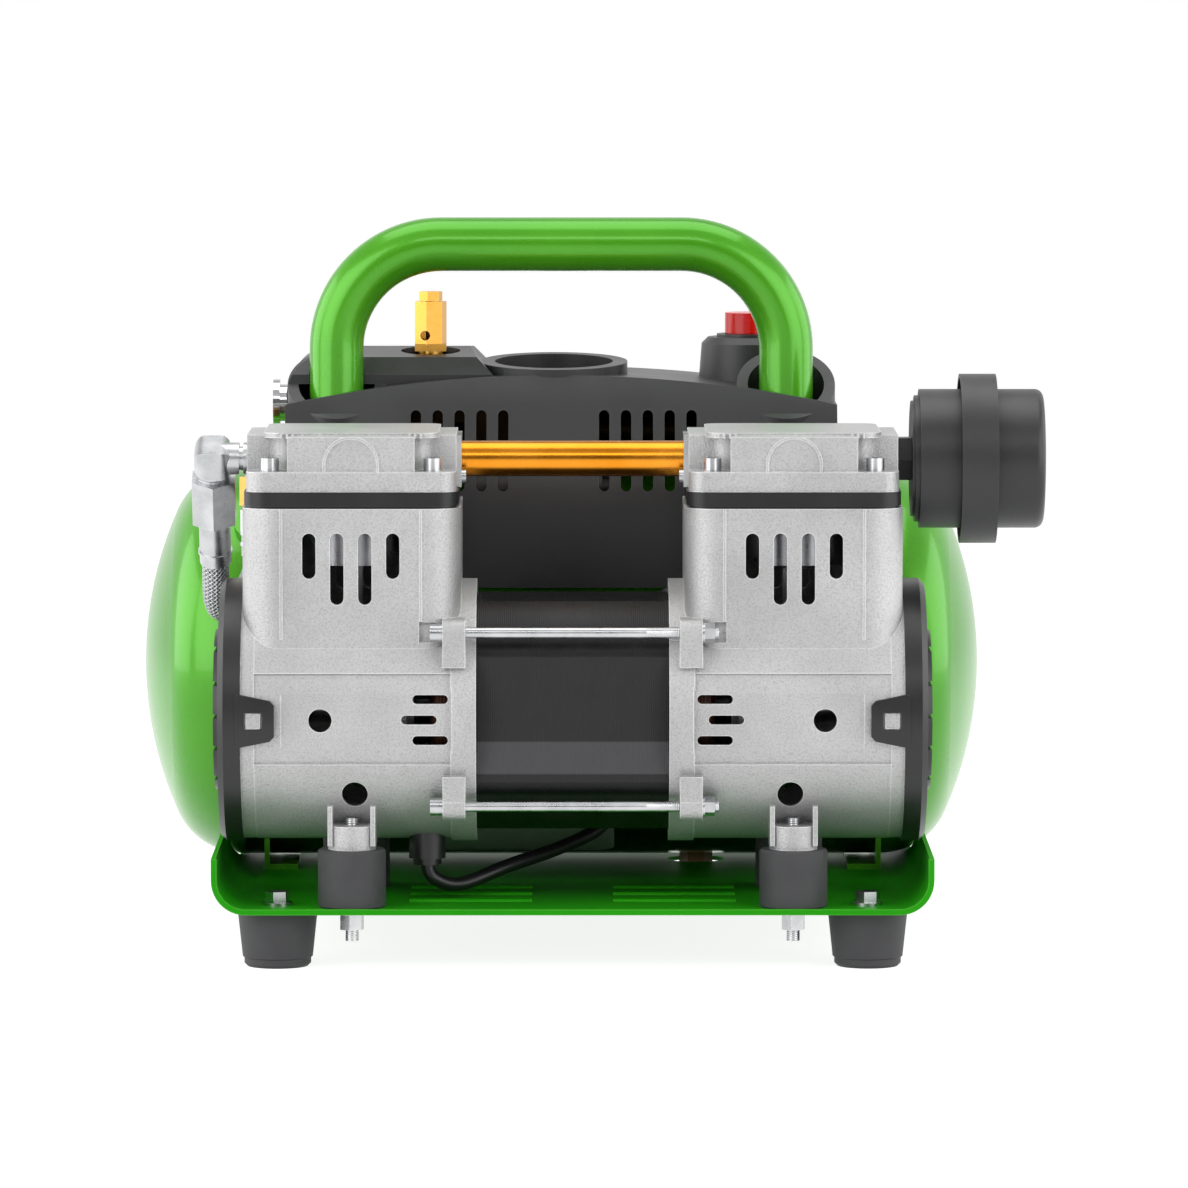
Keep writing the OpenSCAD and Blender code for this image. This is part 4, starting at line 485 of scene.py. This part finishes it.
def makeLens():
    mat = bpy.data.materials.new("clear_lens")
    mat.use_nodes = True
    shader = mat.node_tree.nodes["Principled BSDF"]
    shader.inputs["Transmission Weight"].default_value = 1.0
    shader.inputs["IOR"].default_value = 1.45
    tree = mat.node_tree
    grain = placeGroup(tree, skinGrain, Fine=300.0, Coarse=30.0)
    tree.links.new(spread(tree, grain.outputs["Cloud"], 0.02, 0.05), shader.inputs["Roughness"])
    return mat


materials = {name: makeFinish(name, plan) for name, plan in finishes.items()}
materials["clear_lens"] = makeLens()
slotOf = {row["node"]: row["material_slot"] for row in frame["record"]["subparts"]}


# nodes whose finish differs from their slot's: the matt tray, and brass that is out of the light, given
# a darker copy of the brass as painted shade
finishOf = {"base_tray": "trayPaint", "air_manifold": "shadedBrass", "drain_valve": "shadedBrass"}


def dressNodes():
    for name, obj in nodes.items():
        mat = materials[finishOf.get(name, slotOf[name])]
        obj.data.materials.clear()
        obj.data.materials.append(mat)


dressNodes()
print("materials ready:", len(materials))

# New pieces: grids of points in bench millimetres (X from the pump's middle, Y from the
# tray's front lip, Z from the ground), moved into the frame's metres at the end

benchZero = (6.0, 155.3, 0.0)


def gridFaces(rows, cols, loopRows=False, loopCols=False):
    # Each face joins point (i, j) with its neighbours at i + 1 and j + 1, round the loops
    i, j = np.meshgrid(np.arange(rows if loopRows else rows - 1),
                       np.arange(cols if loopCols else cols - 1), indexing="ij")
    across, along = (j + 1) % cols, (i + 1) % rows
    faces = np.stack([i * cols + j, i * cols + across, along * cols + across, along * cols + j], -1)
    return faces.reshape(-1, 4)


def capEnds(rows, cols):
    # One many-sided face on the first ring and one on the last, facing out
    return [list(range(cols))[::-1], list(range((rows - 1) * cols, rows * cols))]


def addPiece(name, parts, slotName, body="frame", finish=None, smooth=True):
    # parts: pairs of points and faces, gathered into one mesh
    points, faces, count = [], [], 0
    for cloud, quads in parts:
        cloud = np.asarray(cloud, float).reshape(-1, 3)
        points.append(cloud)
        faces += [[count + k for k in face] for face in quads] if isinstance(quads, list) \
            else (quads + count).tolist()
        count += len(cloud)
    points = (np.vstack(points) - benchZero) / 1000
    mesh = bpy.data.meshes.new(name)
    mesh.from_pydata(points.tolist(), [], faces)
    mesh.polygons.foreach_set("use_smooth", np.full(len(mesh.polygons), smooth))
    mesh.update()
    mesh.materials.append(materials[finish or slotName])
    obj = bpy.data.objects.new(name, mesh)
    bpy.context.collection.objects.link(obj)
    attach(obj, body)
    return obj


def smoothPath(points, steps):
    # Catmull-Rom: half of 2b + (c - a)t + (2a - 5b + 4c - d)t^2 + (3b - a - 3c + d)t^3
    p = np.asarray(points, float)
    p = np.vstack([p[0], p, p[-1]])
    a, b, c, d = (p[k:len(p) - 3 + k, None, :] for k in range(4))
    t = np.linspace(0, 1, steps, endpoint=False)[None, :, None]
    line = 0.5 * (2 * b + (c - a) * t + (2 * a - 5 * b + 4 * c - d) * t ** 2
                  + (3 * b - a - 3 * c + d) * t ** 3)
    return np.vstack([line.reshape(-1, 3), p[-1]])


def crossAxes(line, lean):
    # Two directions square to the path at each point, the first as near to lean as can be
    ahead = np.gradient(line, axis=0)
    ahead /= np.linalg.norm(ahead, axis=1, keepdims=True)
    lean = np.asarray(lean, float) / np.linalg.norm(lean)
    first = lean - (ahead @ lean)[:, None] * ahead
    first /= np.linalg.norm(first, axis=1, keepdims=True)
    return first, np.cross(ahead, first)


def ringsAlong(line, axes, radius, turn):
    # Point = path + radius (cos(turn) first + sin(turn) second); radius and turn by row and column
    first, second = axes
    return line[:, None, :] + radius[..., None] * (
        np.cos(turn)[..., None] * first[:, None, :] + np.sin(turn)[..., None] * second[:, None, :])


def tubeParts(line, lean, radius, sides):
    turn = np.tile(np.linspace(0, 2 * np.pi, sides, endpoint=False), (len(line), 1))
    radius = np.broadcast_to(np.asarray(radius, float).reshape(-1, 1), turn.shape)
    points = ringsAlong(line, crossAxes(line, lean), radius, turn)
    shape = gridFaces(len(line), sides, loopCols=True).tolist() + capEnds(len(line), sides)
    return points, shape


hosePlan = {
    "elbow": (-167.8, 60.0, 233.7),
    "lean": 27.0,
    "ferruleTop": 38.0,
    "ferruleMouth": 56.0,
    "bends": [(-168, 92, 174.5), (-168, 101, 165), (-166, 111, 159.5), (-161, 120, 160.5),
              (-155, 125.5, 167), (-151, 126.5, 175)],
    "valveEnd": [(-150, 126.34, 183.19), (-150, 126.34, 190.19)],
    "core": 5.85,
    "weave": 6.2,
    "lift": 0.14,
    "carriers": 16,
    "turnEvery": 39.0,
    "ribbon": 1.26,  # width of one ribbon, round the hose
    "ribbonSection": (0.0, 0.06, 0.0, -0.22, -0.22),  # heights of its edge, crown, edge and back
    "coreSides": 24,
    "step": 0.42,  # length of one piece of ribbon
}


def makeHose(plan):
    # Ribbon k of a family runs at turn = 2 pi k / carriers +- a, with a = 2 pi length / turnEvery,
    # at radius weave +- lift cos(carriers a), so that it goes over and under the other family
    lean = math.radians(plan["lean"])
    leg = np.array([0, math.sin(lean), -math.cos(lean)])
    start = np.array(plan["elbow"])
    knots = [start + leg * plan["ferruleTop"], start + leg * plan["ferruleMouth"],
             *map(np.array, plan["bends"]), *map(np.array, plan["valveEnd"])]
    line = smoothPath(knots, 36)
    moved = np.linalg.norm(np.diff(line, axis=0), axis=1) > 1e-6
    line = line[np.concatenate([[True], moved])]
    run = np.concatenate([[0], np.cumsum(np.linalg.norm(np.diff(line, axis=0), axis=1))])
    even = np.linspace(0, run[-1], int(run[-1] / plan["step"]))
    line = np.stack([np.interp(even, run, line[:, k]) for k in range(3)], -1)
    axes = crossAxes(line, (1, 0, 0))
    parts = [tubeParts(line, (1, 0, 0), plan["core"], plan["coreSides"])]
    a = 2 * np.pi * even / plan["turnEvery"]
    half = plan["ribbon"] / 2 / plan["weave"]
    for way in (1, -1):
        rise = plan["weave"] + way * plan["lift"] * np.cos(plan["carriers"] * a)
        radius = rise[:, None] + np.array(plan["ribbonSection"])[None, :]
        for k in range(plan["carriers"]):
            middle = 2 * np.pi * k / plan["carriers"] + way * a
            turn = middle[:, None] + np.array([-half, 0.0, half, half, -half])[None, :]
            points = ringsAlong(line, axes, radius, turn)
            faces = gridFaces(len(line), 5, loopCols=True).tolist() + capEnds(len(line), 5)
            parts.append((points, faces))
    hose = addPiece("braidedHoseWoven", parts, "steel_braid")
    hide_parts("braided_hose")
    print("hose:", round(float(even[-1]), 1), "mm,", len(hose.data.polygons), "faces")


makeHose(hosePlan)

# Motor lead from the fan end, along the tray and up into the housing

leadPlan = {
    "knots": [(-67.8, 46, 59), (-67.8, 46, 45), (-64, 46, 38), (-52, 52, 35), (-30, 66, 42),
              (-6, 88, 48), (12, 107, 55), (24, 119, 68), (30, 121.5, 86), (32, 119.4, 108),
              (33, 119.2, 130), (35, 120, 152), (43, 120.5, 164), (59, 121.2, 171.5),
              (69, 121.8, 173.5), (72.5, 126, 175.5), (73, 132, 179), (75, 141, 194),
              (78, 154, 214), (79, 172, 232), (80, 190, 238), (80, 196.4, 238)],
    "radius": 3.25,
    "sides": 24,
    "steps": 10,  # points between two knots
    "lean": (1, -1, 0.3),  # a direction that the lead never runs along
}


def makeLead(plan):
    # A round sheath: the ring of its radius carried along the curve through the knots
    line = smoothPath(plan["knots"], plan["steps"])
    sheath = tubeParts(line, plan["lean"], plan["radius"], plan["sides"])
    lead = addPiece("motorLeadSheath", [sheath], "lead_jacket")
    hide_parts("motor_lead")
    length = float(np.linalg.norm(np.diff(line, axis=0), axis=1).sum())
    print("lead:", round(length, 1), "mm")


makeLead(leadPlan)

# Screw threads that show on the tie bolts, buffer studs and outlet

threadPlan = {
    "zinc_steel": [
        # start, end, root, crest, pitch
        *[((x0, y, z), (x1, y, z), 2.5, 2.66, 0.8)
          for y in (7, 113) for z in (76, 156.4) for x0, x1 in ((34, 49.5), (65.6, 67.4))],
        *[((x, y, z0), (x, y, z1), 3.0, 3.16, 1.0)
          for x in (-102.3, 102.3) for y in (18, 102) for z0, z1 in ((66.3, 69.5), (12.5, 17.6))],
    ],
    "sides": 20,
    "perTurn": 6,
}


def threadParts(start, end, root, crest, pitch, plan):
    # radius = root + depth (1 - |2 frac(distance / pitch - turn) - 1|), turn as a share of a circle
    start, end = np.array(start, float), np.array(end, float)
    length = np.linalg.norm(end - start)
    rows = max(6, int(length / pitch * plan["perTurn"]))
    along = np.linspace(0, 1, rows)
    line = start + along[:, None] * (end - start)
    share = np.linspace(0, 1, plan["sides"], endpoint=False)
    phase = (along[:, None] * length / pitch - share[None, :]) % 1.0
    radius = root + (crest - root) * (1 - np.abs(2 * phase - 1))
    lean = (0, 0, 1) if abs(end[0] - start[0]) > 0.1 else (1, 0, 0)
    turn = np.tile(share * 2 * np.pi, (rows, 1))
    points = ringsAlong(line, crossAxes(line, lean), radius, turn)
    return points, gridFaces(rows, plan["sides"], loopCols=True).tolist() + capEnds(rows, plan["sides"])


def makeThreads(plan):
    parts = [threadParts(*row, plan) for row in plan["zinc_steel"]]
    addPiece("boltThreads", parts, "zinc_steel")
    lean = math.radians(hosePlan["lean"])
    leg = np.array([0, math.sin(lean), -math.cos(lean)])
    elbow = np.array(hosePlan["elbow"])
    outlet = threadParts(elbow + leg * 7, elbow + leg * 10.2, 7.45, 7.75, 1.5, plan)
    addPiece("outletThread", [outlet], slotOf["outlet_elbow"])
    print("threads:", len(parts) + 1)


makeThreads(threadPlan)

# Film round the tank's front, and the bare panel on it

wrapPlan = {
    "centre": (219.0, 125.5),
    "tankRadius": 94.0,
    "grid": (90, 40),  # points round the tank and along it
    "film": {"x": (-158.0, 147.0), "angle": (-75.0, 25.0), "thick": 0.3, "corner": 6.0},
    "panel": {"x": (-71.0, 20.0), "angle": (-72.0, -15.0), "thick": 0.55, "corner": 8.0},
}


def wrapParts(plan, sheet):
    # Point = (x, y0 - r cos(angle), z0 + r sin(angle)); the width draws in round the corners
    radius = plan["tankRadius"] + sheet["thick"]
    low, high = (math.radians(v) for v in sheet["angle"])
    angle = np.linspace(low, high, plan["grid"][0])
    reach = np.minimum(angle - low, high - angle) * radius
    corner = sheet["corner"]
    inset = corner - np.sqrt(np.maximum(corner ** 2 - np.maximum(corner - reach, 0) ** 2, 0))
    x0, x1 = sheet["x"]
    across = np.linspace(0, 1, plan["grid"][1])
    x = (x0 + inset)[:, None] + (x1 - x0 - 2 * inset)[:, None] * across[None, :]
    r = np.full(x.shape, radius)
    # the last row and column on each side go down into the tank's skin as the sheet's edge
    x = np.pad(x, 1, mode="edge")
    r = np.pad(r, 1, constant_values=plan["tankRadius"] - 0.1)
    angle = np.pad(angle, 1, mode="edge")[:, None]
    y0, z0 = plan["centre"]
    points = np.stack([x, y0 - r * np.cos(angle), z0 + r * np.sin(angle)], -1)
    return points, gridFaces(*x.shape)


def makeWrap(plan):
    addPiece("tankFilm", [wrapParts(plan, plan["film"])], "black_plastic", finish="wrapFilm")
    addPiece("tankPanel", [wrapParts(plan, plan["panel"])], "grey_plastic", finish="barePanel")
    print("tank film and panel ready")


makeWrap(wrapPlan)

# Marks and numbers on the two dials

dialPlan = {
    "centres": [(-45.4, 270.0, 248.75), (34.6, 270.0, 248.75)],
    "tilt": -32.0,
    "face": -1.93,
    "zeroAngle": 225.0,
    "sweep": 270.0,
    "marks": 24,
    "ring": (12.4, 15.3),
    "majorEvery": 4,
    "minorShorter": 1.3,
    "markWidths": (0.52, 0.28),  # major, minor
    "numbers": ["0", "2", "4", "6", "8", "10", "12"],
    "numberRing": 9.9,
    "numberSize": 3.1,
}


def panelMatrix(centre, plan):
    turn = Matrix.Rotation(math.radians(plan["tilt"]), 4, "X")
    shift = Vector(centre) - Vector(benchZero)
    return Matrix.Translation(shift / 1000) @ turn @ Matrix.Scale(0.001, 4)


def makeDials(plan):
    # Mark k is a small rectangle along the ray at zeroAngle - sweep k / marks
    k = np.arange(plan["marks"] + 1)
    ray = np.radians(plan["zeroAngle"] - plan["sweep"] * k / plan["marks"])
    major = k % plan["majorEvery"] == 0
    inner = np.where(major, plan["ring"][0], plan["ring"][0] + plan["minorShorter"])
    outer = np.full(len(k), plan["ring"][1])
    wide, narrow = plan["markWidths"]
    half = np.where(major, wide / 2, narrow / 2)
    along = np.stack([np.cos(ray), np.sin(ray)], -1)
    side = np.stack([-np.sin(ray), np.cos(ray)], -1)
    corners = []
    for r, w in ((inner, -half), (outer, -half), (outer, half), (inner, half)):
        flat = along * r[:, None] + side * w[:, None]
        corners.append(np.column_stack([flat, np.full(len(k), plan["face"])]))
    marks = np.stack(corners, 1).reshape(-1, 3)
    faces = np.arange(len(marks)).reshape(-1, 4).tolist()
    for which, centre in enumerate(plan["centres"]):
        place = panelMatrix(centre, plan)
        mesh = bpy.data.meshes.new("dialMarks")
        mesh.from_pydata(marks.tolist(), [], faces)
        meshes = [mesh]
        for number, label in enumerate(plan["numbers"]):
            curve = bpy.data.curves.new("dialNumber", "FONT")
            curve.body = label
            curve.size = plan["numberSize"]
            curve.align_x, curve.align_y = "CENTER", "CENTER"
            text = bpy.data.objects.new("dialNumber", curve)
            bpy.context.collection.objects.link(text)
            bpy.context.view_layer.update()
            shape = bpy.data.meshes.new_from_object(text)
            bpy.data.objects.remove(text)
            step = plan["sweep"] * number / (len(plan["numbers"]) - 1)
            ray = math.radians(plan["zeroAngle"] - step)
            shape.transform(Matrix.Translation((plan["numberRing"] * math.cos(ray),
                                                plan["numberRing"] * math.sin(ray), plan["face"])))
            meshes.append(shape)
        for shape in meshes:
            shape.transform(place)
            shape.materials.clear()
            shape.materials.append(materials["needle_black"])
        joined = bmesh.new()
        for shape in meshes:
            joined.from_mesh(shape)
        joined.to_mesh(mesh)
        joined.free()
        obj = bpy.data.objects.new(("tankDialMarks", "outletDialMarks")[which], mesh)
        bpy.context.collection.objects.link(obj)
        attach(obj, "frame")
    print("dials marked")


makeDials(dialPlan)
